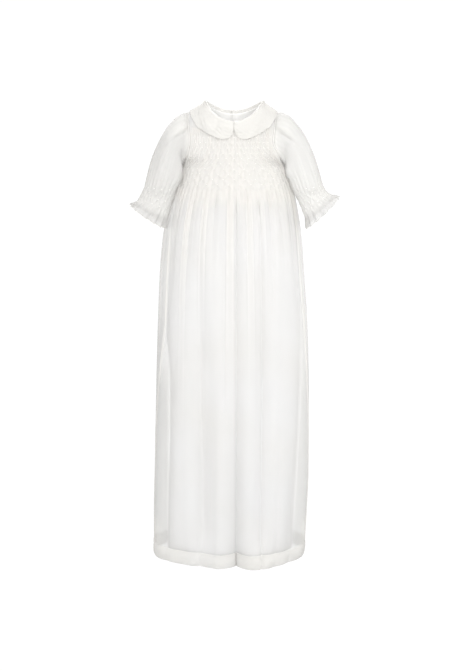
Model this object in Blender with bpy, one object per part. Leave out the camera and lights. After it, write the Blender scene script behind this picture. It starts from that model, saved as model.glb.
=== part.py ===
"""A baby's christening gown, filled out as when worn, with nobody in it.

Sheer organza over an opaque sleeveless lining: a smocked front, two gathered backs, puffed
sleeves drawn in above a frill, a round collar in two halves and a long skirt with a deep hem.
The origin is between the shoulders, at the height of the neck points. +Z is up, -Y is the
front and -X is the left of the picture that a viewer in front of the gown sees. All sizes
below are in millimetres.
"""

import math

import bmesh
import bpy
import numpy as np
from mathutils import Vector
from mathutils.bvhtree import BVHTree

MM = 0.001

# --- driving sizes ---------------------------------------------------------------------------
ORGANZA = 1.4          # wall of the outer cloth
LINING = 1.0           # wall of the lining
DOUBLED = 1.6          # wall of the collar, two layers pressed together
BAND = 1.2             # wall of the hem, the binding and the placket
SEAM = 0.3             # gap at every seam
SIDE_SEAM = 0.25       # each side edge and each centre-back edge stands back this far
SHOULDER_SPREAD = 0.6  # each shoulder edge stands back this far, because the two walls meet at an angle

NECK_HALF_WIDTH = 46.0
NECK_FRONT = 42.0      # how far the neck opening reaches forward
NECK_BACK = 38.0
NECK_DROP_FRONT = 32.0
NECK_DROP_BACK = 17.0
BINDING_HEIGHT = 5.0
SHOULDER_TIPS = (75.0, 71.0)
SHOULDER_DROP = 18.0
NECK_SHARE = 2 / 3     # share of a panel's columns that start at the neck, the rest at the shoulder

CHEST_LEVEL = -45.0    # the level where the panels leave the curve of the shoulders
SMOCK_END = -140.0
HEM_SIDE = -788.0
HEM_FRONT_DIP = 4.0
HEM_DEPTH = 24.0
LINING_SHORTER = 12.0

FRONT_COLUMNS = 36
BACK_COLUMNS = 12
LINING_FRONT_COLUMNS = 18
LINING_BACK_COLUMNS = 12
SLEEVE_COLUMNS = 20
COLLAR_COLUMNS = 18
CENTRE_FLAT = 14.0      # degrees either side of the centre back that stay free of folds

IVORY_ORGANZA = (0.93, 0.92, 0.89, 1.0)
IVORY_LINING = (0.96, 0.95, 0.92, 1.0)
PEARL = (0.95, 0.94, 0.90, 1.0)


def table(columns, rows):
    """Named columns of a short table, as arrays."""
    values = np.array(rows, float)
    return {name: values[:, i] for i, name in enumerate(columns.split())}


# The gown's sections, from the chest to the hem. left and right are half widths, front and back
# are depths, edge is how far the panel's side edge lies from the middle plane along the
# armhole, and wrap is the share of a half turn that the panel goes round.
BODY = table(
    "height left right front back edge wrap",
    [
        (-45, 74, 66, 48, 44, 27, 0.62),
        (-65, 72, 64, 54, 49, 33, 0.66),
        (-88, 77, 74, 59, 54, 27, 0.76),
        (-111, 86, 85, 63, 58, 0, 1.0),
        (-140, 96, 97, 67, 61, 0, 1.0),
        (-170, 107, 105, 71, 63, 0, 1.0),
        (-215, 119, 113, 78, 67, 0, 1.0),
        (-290, 127, 120, 85, 72, 0, 1.0),
        (-390, 132, 127, 89, 76, 0, 1.0),
        (-500, 136, 130, 92, 79, 0, 1.0),
        (-620, 139, 129, 95, 81, 0, 1.0),
        (-768, 142, 124, 100, 84, 0, 1.0),
        (-800, 142, 120, 101, 85, 0, 1.0),
    ],
)

# How far the lining lies inside the organza.
INSET = table(
    "height left right middle",
    [
        (0, 2.8, 2.8, 2.8),
        (-45, 3.4, 3.4, 3.4),
        (-111, 4, 4, 4.2),
        (-160, 8, 4.5, 7),
        (-215, 12, 7, 10),
        (-300, 14, 10, 11),
        (-380, 15, 13, 12),
        (-470, 24, 17, 12),
        (-600, 26, 21, 12),
        (-690, 25, 24, 12),
        (-800, 24, 22, 12),
    ],
)

# The main folds: troughs in the cloth that grow from one height to the next and then keep
# their depth. top and foot are where the trough lies, in degrees round from the middle of the
# panel (minus is -X), half is its half width in degrees. A depth under zero is a ridge.
FRONT_FOLDS = table(
    "top foot half depth starts grown",
    [
        (2, 2, 7, 9, -140, -270),
        (2, 2, 10, 16, -420, -760),
        (20, 23, 8, 8, -150, -330),
        (-30, -24, 12, 14, -160, -560),
        (-8, -7, 6, 3, -150, -280),
        (-45, -42, 9, 5, -330, -700),
        (64, 68, 14, -6, -330, -700),
        (-62, -68, 12, -5, -330, -700),
    ],
)
BACK_FOLDS = table(
    "top foot half depth starts grown",
    [
        (16, 18, 12, 10, -180, -620),
        (-14, -17, 12, 13, -170, -680),
        (44, 47, 11, 10, -260, -640),
        (-42, -46, 12, 9, -220, -560),
    ],
)

# Height of the small pleats that the smocking and the gathers hold, from ridge to middle.
PLEATS = table(
    "height front back",
    [
        (0, 0.2, 0.2),
        (-45, 0.9, 0.5),
        (-65, 1.2, 0.8),
        (-140, 1.3, 1.2),
        (-170, 1.9, 1.6),
        (-215, 1.0, 0.9),
        (-290, 0.0, 0.0),
        (-800, 0.0, 0.0),
    ],
)

# Level rows of the panels under the shoulders. The last row of each panel is its hem.
LEVELS = (-45, -65, -88, -111, -140, -170, -215, -290, -400, -560)
LINING_LEVELS = LEVELS

# Each sleeve's rings from the armhole to the edge of the frill: the point of the ring that is
# furthest out, the one nearest the body, half its depth, how far its middle lies in front of
# the shoulders, and the height of its pleats.
SLEEVE_LEFT = table(
    "outer_x outer_z inner_x inner_z depth forward pleat",
    [
        (82, -20, 88.5, -110, 35, 0, 0.8),
        (95, -26, 91, -112, 38, 1, 1.4),
        (110, -42, 93, -115, 41, 4, 1.2),
        (124, -66, 94.5, -118, 42, 9, 0.6),
        (136, -94, 95, -124, 40, 15, 0.4),
        (143, -119, 97, -133, 36, 21, 0.5),
        (148.5, -141, 99, -147, 31, 26, 1.0),
        (153, -150, 103, -163, 26, 29, 1.2),
        (158.5, -160, 108, -180, 26, 31, 1.2),
        (164, -166, 112, -195, 30, 33, 2.0),
        (171, -170, 116, -207, 35, 35, 3.4),
    ],
)
SLEEVE_RIGHT = table(
    "outer_x outer_z inner_x inner_z depth forward pleat",
    [
        (77, -19, 87.5, -110, 35, 0, 0.8),
        (90, -24, 90, -112, 38, 1, 1.4),
        (106, -41, 92, -114, 41, 4, 1.2),
        (121, -65, 93.5, -117, 42, 9, 0.6),
        (134, -93, 94, -123, 40, 15, 0.4),
        (142, -118, 96, -132, 36, 21, 0.5),
        (148, -139, 100, -146, 31, 26, 1.0),
        (152, -146, 108, -162, 26, 28, 1.2),
        (159, -152, 115, -180, 26, 30, 1.2),
        (167, -154, 120, -194, 30, 32, 2.0),
        (174, -157, 122, -207, 35, 34, 3.4),
    ],
)

# The collar round one side of the neck: the way round in degrees from the centre front, and
# the width there. The fronts are rounded.
COLLAR = table(
    "around width raised",
    [
        (2, 19, 0),
        (9, 28, 0),
        (20, 33, 0),
        (45, 34, 0),
        (90, 27, 0),
        (140, 35, 0.4),
        (160, 35, 2.0),
        (172, 32, 2.0),
        (178, 18, 2.0),
    ],
)
COLLAR_LIFT = (2.9, 3.6, 3.9, 3.8)  # over the organza, from the neck to the edge

BUTTON_RADIUS = 5.0
BUTTON_THICKNESS = 2.2
BUTTON_DROPS = (42.0, 73.0, 104.0)  # down the back from the neck
PLACKET_LENGTH = 118.0
PLACKET_START = 3.0
PLACKET_WIDTH = 16.0


# --- helpers ---------------------------------------------------------------------------------
def smooth_value(columns, name, at, key="height"):
    """A column's value at a height, on a smooth curve through the rows that adds no bumps."""
    xs, ys = columns[key], columns[name]
    if xs[0] > xs[-1]:
        xs, ys = xs[::-1], ys[::-1]
    if at <= xs[0] or at >= xs[-1]:
        return float(ys[0] if at <= xs[0] else ys[-1])
    step = np.diff(xs)
    rise = np.diff(ys) / step
    slope = np.zeros(len(xs))
    slope[0], slope[-1] = rise[0], rise[-1]
    for i in range(1, len(xs) - 1):
        if rise[i - 1] * rise[i] > 0:
            slope[i] = 2 / (1 / rise[i - 1] + 1 / rise[i])
    i = int(np.searchsorted(xs, at)) - 1
    t = (at - xs[i]) / step[i]
    before = (1 + 2 * t) * (1 - t) ** 2 * ys[i] + t * (1 - t) ** 2 * step[i] * slope[i]
    after = t * t * (3 - 2 * t) * ys[i + 1] - t * t * (1 - t) * step[i] * slope[i + 1]
    return float(before + after)


def ease(value):
    """0 to 1 with soft ends."""
    value = min(1.0, max(0.0, value))
    return value * value * (3 - 2 * value)


def cloth_material(name, colour, roughness):
    material = bpy.data.materials.new(name)
    material.use_nodes = True
    shader = material.node_tree.nodes["Principled BSDF"]
    shader.inputs["Base Color"].default_value = colour
    shader.inputs["Roughness"].default_value = roughness
    material.diffuse_color = colour
    return material


def sheet_object(name, grid, wall, material, closed=False):
    """Cloth through a grid of points, a row after a row, with its wall from a Solidify."""
    mesh = bpy.data.meshes.new(name)
    width = len(grid[0])
    points = [Vector(p) * MM for row in grid for p in row]
    faces = []
    for r in range(len(grid) - 1):
        for c in range(width if closed else width - 1):
            after = (c + 1) % width
            faces.append((r * width + c, (r + 1) * width + c, (r + 1) * width + after, r * width + after))
    mesh.from_pydata(points, [], faces)
    mesh.materials.append(material)
    mesh.shade_smooth()
    obj = bpy.data.objects.new(name, mesh)
    bpy.context.scene.collection.objects.link(obj)
    solid = obj.modifiers.new("Wall", "SOLIDIFY")
    solid.thickness = wall * MM
    solid.offset = 0.0
    return obj


def grid_normals(grid, closed=False):
    """The direction out of the cloth at each point of a grid, as the wall's faces have it."""
    points = np.array([[tuple(p) for p in row] for row in grid], float)
    if closed:
        across = np.roll(points, -1, axis=1) - np.roll(points, 1, axis=1)
    else:
        across = np.gradient(points, axis=1)
    down = np.gradient(points, axis=0)
    out = np.cross(down, across)
    return out / np.linalg.norm(out, axis=2, keepdims=True)


def moved_out(grid, distance, closed=False):
    """The grid's points, moved out of the cloth by a distance."""
    points = np.array([[tuple(p) for p in row] for row in grid], float)
    return points + grid_normals(grid, closed) * distance


# --- the gown's form -------------------------------------------------------------------------
def fold_depth(folds, angle, height):
    """How deep the main folds are at an angle round a panel, in degrees, and a height."""
    depth = 0.0
    for i in range(len(folds["top"])):
        share = ease((folds["starts"][i] - height) / (folds["starts"][i] - folds["grown"][i]))
        middle = folds["top"][i] + (folds["foot"][i] - folds["top"][i]) * share
        away = (angle - middle) / folds["half"][i]
        depth += folds["depth"][i] * share * math.exp(-away * away)
    return depth


def level_point(across, height, back, inset=(0.0, 0.0, 0.0)):
    """A point on the form at a height. across runs from -1 at one side edge to 1 at the other."""
    side_inset = inset[0] if across < 0 else inset[1]
    width = smooth_value(BODY, "left" if across < 0 else "right", height) - side_inset
    depth = smooth_value(BODY, "back" if back else "front", height) - inset[2]
    edge = smooth_value(BODY, "edge", height) - (1.6 if inset[2] and height > -105 else 0)
    half_turn = math.pi / 2 * smooth_value(BODY, "wrap", height)
    turn = half_turn * across
    bulge = (math.cos(turn) - math.cos(half_turn)) / (1 - math.cos(half_turn))
    folds = fold_depth(BACK_FOLDS if back else FRONT_FOLDS, 90 * across, height)
    if back:
        folds *= 1 - math.exp(-((90 * across / CENTRE_FLAT) ** 2))
    x = width * math.sin(turn) / math.sin(half_turn)
    y = edge + (depth - edge) * bulge
    in_plan = Vector((x / width**2, y / max(depth, 1) ** 2))
    in_plan.normalize()
    x -= folds * in_plan.x
    y -= folds * in_plan.y
    return Vector((x, y if back else -y, height))


def top_point(across, back, inset=0.0):
    """A point on the panel's top edge: round the neck, then along the shoulder."""
    share = abs(across)
    side = -1 if across < 0 else 1
    half_width = NECK_HALF_WIDTH + 2
    neck_point = Vector((half_width * side, 0, -BINDING_HEIGHT - inset))
    if share <= NECK_SHARE:
        angle = math.pi / 2 * share / NECK_SHARE
        reach = (NECK_BACK if back else NECK_FRONT) + 2 - 0.8 * inset
        drop = NECK_DROP_BACK if back else NECK_DROP_FRONT
        y = reach * math.cos(angle)
        curve = math.cos(angle) ** (1.9 if back else 1.5)
        z = neck_point.z - drop * curve + 0.5 * inset * math.cos(angle)
        return Vector((half_width * math.sin(angle) * side, y if back else -y, z))
    tip = Vector(((SHOULDER_TIPS[side > 0] - inset * 0.9) * side, 0, -SHOULDER_DROP - inset))
    return neck_point.lerp(tip, (share - NECK_SHARE) / (1 - NECK_SHARE))


def form_point(across, height, back, inset=(0.0, 0.0, 0.0), blend=None):
    """A point of a panel. Over the chest level, blend goes from 0 at the top edge to 1."""
    if blend is None:
        return level_point(across, height, back, inset)
    chest = level_point(across, CHEST_LEVEL, back, inset)
    under = level_point(across, CHEST_LEVEL - 8, back, inset)
    top = top_point(across, back, inset[2] and smooth_value(INSET, "middle", 0))
    upward = (chest - under) / 8
    control = chest + upward * 0.55 * (top.z - CHEST_LEVEL)
    return top * (1 - blend) ** 2 + control * 2 * blend * (1 - blend) + chest * blend**2


def hem_height(across, back):
    """The hem hangs a little lower at the centre front."""
    return HEM_SIDE - (0 if back else HEM_FRONT_DIP * math.cos(math.pi / 2 * across) ** 2)


def panel_grid(columns, levels, back, span=(-1.0, 1.0), lined=False, pleated=True, hem_rise=0.0):
    """The middle surface of a panel: top edge, one row on the shoulder's curve, level rows, hem."""
    kind = "back" if back else "front"
    grid = []
    for row in range(2 + len(levels) + 2):
        points = []
        for column in range(columns + 1):
            across = span[0] + (span[1] - span[0]) * column / columns
            hem = hem_height(across, back) + hem_rise
            if row < 2:
                height, blend = CHEST_LEVEL * row / 2, row * 0.5
            elif row < 2 + len(levels):
                height, blend = levels[row - 2], None
            else:
                height, blend = (hem + HEM_DEPTH, hem)[row - 2 - len(levels)], None
            inset = [smooth_value(INSET, name, height) for name in ("left", "right", "middle")]
            point = form_point(across, height, back, inset if lined else (0, 0, 0), blend)
            if pleated and 0 < column < columns:
                ridge = smooth_value(PLEATS, kind, height) * (1 if column % 2 else -1)
                out = Vector((point.x, point.y, 0)).normalized()
                point = point + out * ridge
            if row == 0 and abs(across) > NECK_SHARE - 0.001:
                point.y += SHOULDER_SPREAD if back else -SHOULDER_SPREAD
            elif abs(across) == 1:
                point.y += SIDE_SEAM if back else -SIDE_SEAM
            if back and across == 0:
                point.x += SIDE_SEAM if span[0] == 0 else -SIDE_SEAM
            points.append(point)
        grid.append(points)
    return grid


def lining_grid(columns, back, span=(-1.0, 1.0)):
    """A lining panel. Over the chest it follows the cloth outside it, moved in."""
    grid = panel_grid(columns, LINING_LEVELS, back, span, True, False, LINING_SHORTER)
    outside = panel_grid(columns, LINING_LEVELS, back, span, False, False)
    turned = -1 if back else 1
    over = np.array([[tuple(p) for p in row] for row in outside[:4]])
    over -= grid_normals(outside[:4]) * turned * INSET["middle"][0]
    over[..., 1] = turned * np.minimum(turned * over[..., 1], -SHOULDER_SPREAD)
    if back:
        seam = 0 if span[0] == 0 else -1
        over[:, seam, 0] = SIDE_SEAM if span[0] == 0 else -SIDE_SEAM
    return [[Vector(p) for p in row] for row in over[:2]] + grid[2:]


def facing_out(grid, back):
    """The back's columns run the other way round, so that its faces point out too."""
    return [row[::-1] for row in grid] if back else grid


def make_panels(organza, satin):
    """Front and backs of the gown and of its lining. Returns the outer grids."""
    outer = {
        "front": panel_grid(FRONT_COLUMNS, LEVELS, False),
        "back_left": panel_grid(BACK_COLUMNS, LEVELS, True, (-1.0, 0.0)),
        "back_right": panel_grid(BACK_COLUMNS, LEVELS, True, (0.0, 1.0)),
    }
    linings = {
        "lining_front": lining_grid(LINING_FRONT_COLUMNS, False),
        "lining_back_left": lining_grid(LINING_BACK_COLUMNS, True, (-1.0, 0.0)),
        "lining_back_right": lining_grid(LINING_BACK_COLUMNS, True, (0.0, 1.0)),
    }
    for name, grid in outer.items():
        outer[name] = facing_out(grid, "back" in name)
        sheet_object(name, outer[name], ORGANZA, organza)
    for name, grid in linings.items():
        sheet_object(name, facing_out(grid, "back" in name), LINING, satin)
    return outer


def make_hem(outer, organza):
    """The deep hem: a band over the foot of each panel, made from the panel's own points."""
    for panel, name in (("front", "hem_front"), ("back_left", "hem_back_left"), ("back_right", "hem_back_right")):
        over = moved_out(outer[panel][-3:], ORGANZA / 2 + SEAM + BAND / 2)[1:]
        over[-1, :, 2] -= 1.0
        sheet_object(name, over, BAND, organza)


# --- sleeves ---------------------------------------------------------------------------------
def armhole_edge(outer, side):
    """The armhole's corners from the shoulder round the front, the underarm and the back."""
    column_front = 0 if side < 0 else -1
    back = outer["back_left" if side < 0 else "back_right"]
    column_back = -1 if side < 0 else 0
    rows = 2 + LEVELS.index(-111) + 1
    front_edge = [outer["front"][r][column_front] for r in range(rows)]
    back_edge = [back[r][column_back] for r in range(1, rows - 1)]
    return front_edge + back_edge[::-1]


def along_loop(corners, count):
    """count points along a closed loop's own straight stretches, corners among them."""
    points = []
    each = count / len(corners)
    for i in range(count):
        at = i / each
        first = int(at)
        points.append(corners[first].lerp(corners[(first + 1) % len(corners)], at - first))
    return points


def sleeve_grid(outer, side, rings):
    """Rings of a sleeve, from the armhole's own corners to the edge of the frill."""
    corners = armhole_edge(outer, side)
    count = SLEEVE_COLUMNS
    middle = sum(corners, Vector()) / len(corners)
    first = []
    for point in along_loop(corners, count):
        inward = Vector((0, middle.y - point.y, middle.z - point.z)).normalized()
        away = ORGANZA / 2 + SEAM
        first.append(point + inward * away + Vector((side * (away + 0.3), 0, 0)))
    grid = [first]
    for r in range(len(rings["depth"])):
        far = Vector((side * rings["outer_x"][r], 0, rings["outer_z"][r]))
        near = Vector((side * rings["inner_x"][r], 0, rings["inner_z"][r]))
        centre, half = (far + near) / 2, (far - near) / 2
        points = []
        for column in range(count):
            angle = math.tau * column / count
            ridge = rings["pleat"][r] * (1 if column % 2 else -1)
            stretch = 1 + ridge / half.length
            point = centre + half * math.cos(angle) * stretch
            point.y = -rings["forward"][r] - math.sin(angle) * (rings["depth"][r] + ridge)
            points.append(point)
        grid.append(points)
    return [row[::-1] for row in grid] if side > 0 else grid


def make_sleeves(outer, organza):
    for name, side, rings in (("sleeve_left", -1, SLEEVE_LEFT), ("sleeve_right", 1, SLEEVE_RIGHT)):
        sheet_object(name, sleeve_grid(outer, side, rings), ORGANZA, organza, closed=True)


# --- neck ------------------------------------------------------------------------------------
def neck_edge(around, side, lift=0.0):
    """The panels' neck edge, the way round in degrees from the centre front on one side."""
    back = around > 90
    share = NECK_SHARE * (1 - (around - 90) / 90 if back else around / 90)
    point = top_point(side * max(share, 1e-6), back)
    point.z += lift
    return point


def form_tree(outer):
    """The gown's shoulders as one surface to lay things on, without its pleats."""
    points, faces = [], []
    for back in (False, True):
        grid = panel_grid(60, LEVELS[:6], back, pleated=False)[:-2]
        grid = facing_out(grid, back)
        start, width = len(points), len(grid[0])
        points += [p for row in grid for p in row]
        for r in range(len(grid) - 1):
            for c in range(width - 1):
                a = start + r * width + c
                faces.append((a, a + width, a + width + 1, a + 1))
    return BVHTree.FromPolygons(points, faces)


def laid_on(tree, point, lift):
    """The nearest point of the gown's surface, moved out by lift along the cloth's mean slope."""
    at = tree.find_nearest(point)[0]
    out = Vector()
    for step in ((5, 0, 0), (-5, 0, 0), (0, 5, 0), (0, -5, 0), (0, 0, -5)):
        out += tree.find_nearest(at + Vector(step))[1]
    return at + out.normalized() * lift


def make_collar(tree, organza):
    steps = len(COLLAR_LIFT)
    around = np.linspace(COLLAR["around"][0], COLLAR["around"][-1], COLLAR_COLUMNS + 1)
    for name, side in (("collar_left", -1), ("collar_right", 1)):
        grid = []
        for step in range(steps):
            row = []
            for angle in around:
                width = smooth_value(COLLAR, "width", angle, "around") * step / (steps - 1)
                turn = math.radians(angle)
                start = neck_edge(angle, side)
                slope = 1.0 - 0.45 * math.sin(turn)
                way = Vector((side * math.sin(turn), -math.cos(turn), -slope)).normalized()
                lift = COLLAR_LIFT[step] + smooth_value(COLLAR, "raised", angle, "around")
                wave = 0.5 * (1 - math.cos(turn * 9)) * step / (steps - 1)
                row.append(laid_on(tree, start + way * (1 + width), lift + wave))
            grid.append(row)
        grid = [row[::-1] for row in grid] if side < 0 else grid
        sheet_object(name, grid, DOUBLED, organza)


def make_neck_binding(outer, organza):
    """A narrow strip that carries the neck edge on upward, open at the centre back."""
    left, front, right = outer["back_left"], outer["front"], outer["back_right"]
    around_back = round(BACK_COLUMNS * NECK_SHARE)
    aside = FRONT_COLUMNS // 2 - round(FRONT_COLUMNS / 2 * NECK_SHARE)
    edges = []
    for row in (0, 1):
        edge = [left[row][c] for c in range(around_back)]
        edge.append((left[row][around_back] + front[row][aside]) / 2)
        edge += [front[row][c] for c in range(aside + 1, FRONT_COLUMNS - aside)]
        edge.append((right[row][BACK_COLUMNS - around_back] + front[row][-1 - aside]) / 2)
        edge += [right[row][c] for c in range(BACK_COLUMNS - around_back + 1, BACK_COLUMNS + 1)]
        edges.append(edge)
    low, high = [], []
    for i, (top, under) in enumerate(zip(*edges)):
        along = (edges[0][min(i + 1, len(edges[0]) - 1)] - edges[0][max(i - 1, 0)]).normalized()
        onward = top - under
        onward = (onward - along * onward.dot(along)).normalized()
        crest = 0.6 * math.exp(-((top.y / 4) ** 2))
        low.append(top + onward * (SEAM + 0.3 + crest))
        upward = (onward + Vector((0, 0, 0.8))).normalized()
        high.append(low[-1] + upward * (BINDING_HEIGHT - SEAM))
    sheet_object("neck_binding", [high, low], BAND, organza)


# --- back opening ----------------------------------------------------------------------------
def make_back_opening(tree, organza, pearl):
    """A placket strip over the centre back, with three round buttons on it."""
    lift = ORGANZA / 2 + 1.1 + SEAM + BAND / 2
    top = neck_edge(180, 1)
    grid = []
    for drop in np.linspace(PLACKET_START, PLACKET_LENGTH, 9):
        row = []
        for x in np.linspace(PLACKET_WIDTH / 2, -PLACKET_WIDTH / 2, 4):
            near = Vector((x, top.y + 6 + drop * 0.1, top.z - drop))
            row.append(laid_on(tree, near, lift))
        grid.append(row)
    sheet_object("back_placket", grid, BAND, organza)
    for number, drop in enumerate(BUTTON_DROPS, 1):
        near = Vector((0, top.y + 6 + drop * 0.1, top.z - drop))
        seat = laid_on(tree, near, lift + BAND / 2 + SEAM + BUTTON_THICKNESS / 2)
        out = (seat - laid_on(tree, near, 0)).normalized()
        make_button(f"button_{number}", seat, out, pearl)


def make_button(name, seat, out, pearl):
    mesh = bpy.data.meshes.new(name)
    bm = bmesh.new()
    bmesh.ops.create_cone(
        bm, cap_ends=True, segments=16, radius1=BUTTON_RADIUS * MM, radius2=BUTTON_RADIUS * MM,
        depth=BUTTON_THICKNESS * MM,
    )
    top = [e for e in bm.edges if all(v.co.z > 0 for v in e.verts)]
    bmesh.ops.bevel(bm, geom=top, offset=0.7 * MM, segments=1, profile=0.5, affect="EDGES")
    bm.to_mesh(mesh)
    bm.free()
    mesh.materials.append(pearl)
    mesh.shade_smooth()
    mesh.set_sharp_from_angle(angle=math.radians(40))
    button = bpy.data.objects.new(name, mesh)
    button.location = seat * MM
    button.rotation_euler = out.to_track_quat("Z", "Y").to_euler()
    bpy.context.scene.collection.objects.link(button)


def main():
    for obj in list(bpy.data.objects):
        bpy.data.objects.remove(obj)
    organza = cloth_material("organza", IVORY_ORGANZA, 0.55)
    satin = cloth_material("lining", IVORY_LINING, 0.7)
    pearl = cloth_material("pearl", PEARL, 0.25)
    outer = make_panels(organza, satin)
    make_hem(outer, organza)
    make_sleeves(outer, organza)
    tree = form_tree(outer)
    make_collar(tree, organza)
    make_neck_binding(outer, organza)
    make_back_opening(tree, organza, pearl)


main()
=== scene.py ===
"""The look of a baby's christening gown: sheer ivory organza over an opaque cotton lining.

The front is smocked under a round collar in two halves, the sleeves are puffed and smocked
above a frill, and the long skirt ends in a deep turned-up hem. The form repeats the sizes of
the part's source, and its pleats, folds, seams and stitches are worked out on it by formula.
Sizes are in millimetres until a mesh is made. -Y is the front, and "left" is -X.
"""

import math

import bpy
import numpy as np
from mathutils import Matrix, Vector
from mathutils.bvhtree import BVHTree


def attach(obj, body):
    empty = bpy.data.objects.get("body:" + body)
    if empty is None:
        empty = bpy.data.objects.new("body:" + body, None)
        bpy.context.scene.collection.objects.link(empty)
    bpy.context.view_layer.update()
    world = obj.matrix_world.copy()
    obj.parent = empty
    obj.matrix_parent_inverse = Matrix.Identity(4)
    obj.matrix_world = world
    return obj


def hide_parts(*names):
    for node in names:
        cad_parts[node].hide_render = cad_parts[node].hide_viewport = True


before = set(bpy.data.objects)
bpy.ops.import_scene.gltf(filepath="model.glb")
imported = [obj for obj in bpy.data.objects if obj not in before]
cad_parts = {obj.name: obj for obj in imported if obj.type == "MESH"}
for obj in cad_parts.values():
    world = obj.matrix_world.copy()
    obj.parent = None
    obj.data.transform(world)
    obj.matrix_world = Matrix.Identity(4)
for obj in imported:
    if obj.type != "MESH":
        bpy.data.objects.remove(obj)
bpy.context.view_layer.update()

MM = 0.001


# --- helpers ---
def table(text, missing=()):
    """Named columns of a short table, as arrays. missing ends the rows that stop early."""
    names, *rows = [line.split() for line in text.strip().splitlines()]
    rows = [(*row, *missing)[:len(names)] for row in rows]
    return dict(zip(names, np.array(rows, float).T))


def curve(columns, name, at, key="height"):
    """A column's values at some heights, on a smooth curve through the rows."""
    xs, ys = columns[key], columns[name]
    if xs[0] > xs[-1]:
        xs, ys = xs[::-1], ys[::-1]
    step = np.diff(xs)
    rise = np.diff(ys) / step
    slope = np.zeros(len(xs))
    slope[0], slope[-1] = rise[0], rise[-1]
    same_way = rise[:-1] * rise[1:] > 0
    total = np.where(same_way, rise[:-1] + rise[1:], 1.0)
    slope[1:-1] = np.where(same_way, 2 * rise[:-1] * rise[1:] / total, 0.0)
    at = np.clip(np.asarray(at, float), xs[0], xs[-1])
    i = np.clip(np.searchsorted(xs, at) - 1, 0, len(xs) - 2)
    t = (at - xs[i]) / step[i]
    before = (1 + 2 * t) * (1 - t) ** 2 * ys[i] + t * (1 - t) ** 2 * step[i] * slope[i]
    after = t * t * (3 - 2 * t) * ys[i + 1] - t * t * (1 - t) * step[i] * slope[i + 1]
    return before + after


def ease(value, start=0.0, end=1.0):
    """0 to 1 with soft ends, from start to end."""
    share = np.clip((np.asarray(value, float) - start) / (end - start), 0.0, 1.0)
    return share * share * (3 - 2 * share)


def bell(value, middle, half):
    """1 at the middle, soft to 0 a few half widths away."""
    return np.exp(-(((value - middle) / half) ** 2))


def unit(vectors):
    return vectors / np.maximum(np.linalg.norm(vectors, axis=-1, keepdims=True), 1e-12)


def grid_normals(points, closed=False):
    """The direction out of the cloth at each point of a grid."""
    if closed:
        across = np.roll(points, -1, axis=1) - np.roll(points, 1, axis=1)
    else:
        across = np.gradient(points, axis=1)
    return unit(np.cross(np.gradient(points, axis=0), across))


def corners(grid):
    """The four corners of each face of a grid, of its points' numbers or of their UVs."""
    return np.stack([grid[:-1, :-1], grid[1:, :-1], grid[1:, 1:], grid[:-1, 1:]], axis=2)


def slow_waves(u, v, seed, count=7, spread=(1.0, 4.0)):
    """Soft uneven ripples, from -1 to 1, that are the same at each run."""
    luck = np.random.default_rng(seed)
    total = np.zeros(np.broadcast(u, v).shape)
    for _ in range(count):
        a, b = luck.uniform(*spread), luck.uniform(*spread) * luck.choice((-1, 1))
        strength, start = luck.uniform(0.4, 1.0), luck.uniform(0, 6.3)
        total += strength * np.sin(2 * math.pi * (a * u + b * v) + start)
    return total / (0.55 * count)


# --- sizes ---
ORGANZA_WALL = 0.35
LINING_WALL = 0.5
HEM_WALL = 0.3
COLLAR_WALL = 0.6
DOUBLED_WALL = 0.35      # the binding and the placket strip
SIDE_GAP = 0.22          # from a side or shoulder seam to the edge of each sheet
CENTRE_GAP = 0.12        # the same at the centre back
HEM_CENTRE_GAP = 0.25
ORGANZA_SOLID = 1.4      # walls and gaps of the solids that this cloth stands on
BAND_SOLID = 1.2
SEAM = 0.3

NECK_HALF_WIDTH = 46.0
NECK_FRONT = 42.0
NECK_BACK = 38.0
NECK_DROP_FRONT = 32.0
NECK_DROP_BACK = 17.0
NECK_TURNING = 2.0       # the panels' edges lie this far outside the neck line
BINDING_HEIGHT = 5.0
SHOULDER_TIPS = (75.0, 71.0)
SHOULDER_DROP = 18.0
NECK_SHARE = 2 / 3       # share of a panel's top edge that goes round the neck
CHEST_LEVEL = -45.0
HEM_SIDE = -788.0
HEM_FRONT_DIP = 4.0
HEM_BACK_DIP = 7.0
HEM_DEPTH = 24.0
LINING_SHORTER = 12.0
LINING_TOP_INSET = 2.8
LINING_UNDER_PLEATS = 4.2
CENTRE_FLAT = 14.0       # degrees each side of the centre back without folds
CHEST_FULLNESS = 10.5    # the front stands out by this beside the underarms
SKIRT_FULLNESS = 9.0     # and by this down the right side of the skirt

FRONT_PLEATS = 32        # pleats that the front's smocking takes up
FRONT_FINE = 8           # columns of a pleat
BACK_PLEATS = 12         # gathers in each half of the back
BACK_FINE = 9
LINING_HALF_COLUMNS = 60
HEM_HALF_COLUMNS = 90
FRONT_ROWS = (12, 36)    # rows over the chest, and from PLEATS_END to the hem
BACK_ROWS = (14, 40)
LINING_ROWS = (10, 34)
PLEATS_END = -300.0
SMOCK_TOP = -50.0
SMOCK_END = -141.0
CELL = 8.4               # height of one honeycomb row
SHIFT = 0.17             # share of a pleat by which the honeycomb bends it sideways
NECK_TALL = 0.9          # the front's pleats at the neck, above the smocking, in it and under it
CHEST_TALL = 1.2
SMOCKED_TALL = 1.35
LOOSE_TALL = 1.6
BACK_TALL = (0.8, 1.5)   # the back's gathers at the top, and what they gain on the way down
SLEEVE_PLEATS = 26
SLEEVE_FINE = 6
CUFF_TOP = 6.85          # the cuff's first honeycomb row, and the height of a row, in rings
CUFF_CELL = 0.62
CUFF_SHIFT = 0.27
CUFF_TALL = 1.7
CAP_TALL = 0.75          # the gathers at the armhole
FLUTE_TALL = 3.4
PUFF_WAVES = 1.9
ON_CHEST_GAP = 1.1       # from the middle of the front's cloth to the middle of the sleeve's
COLLAR_GAP = 0.9

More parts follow.
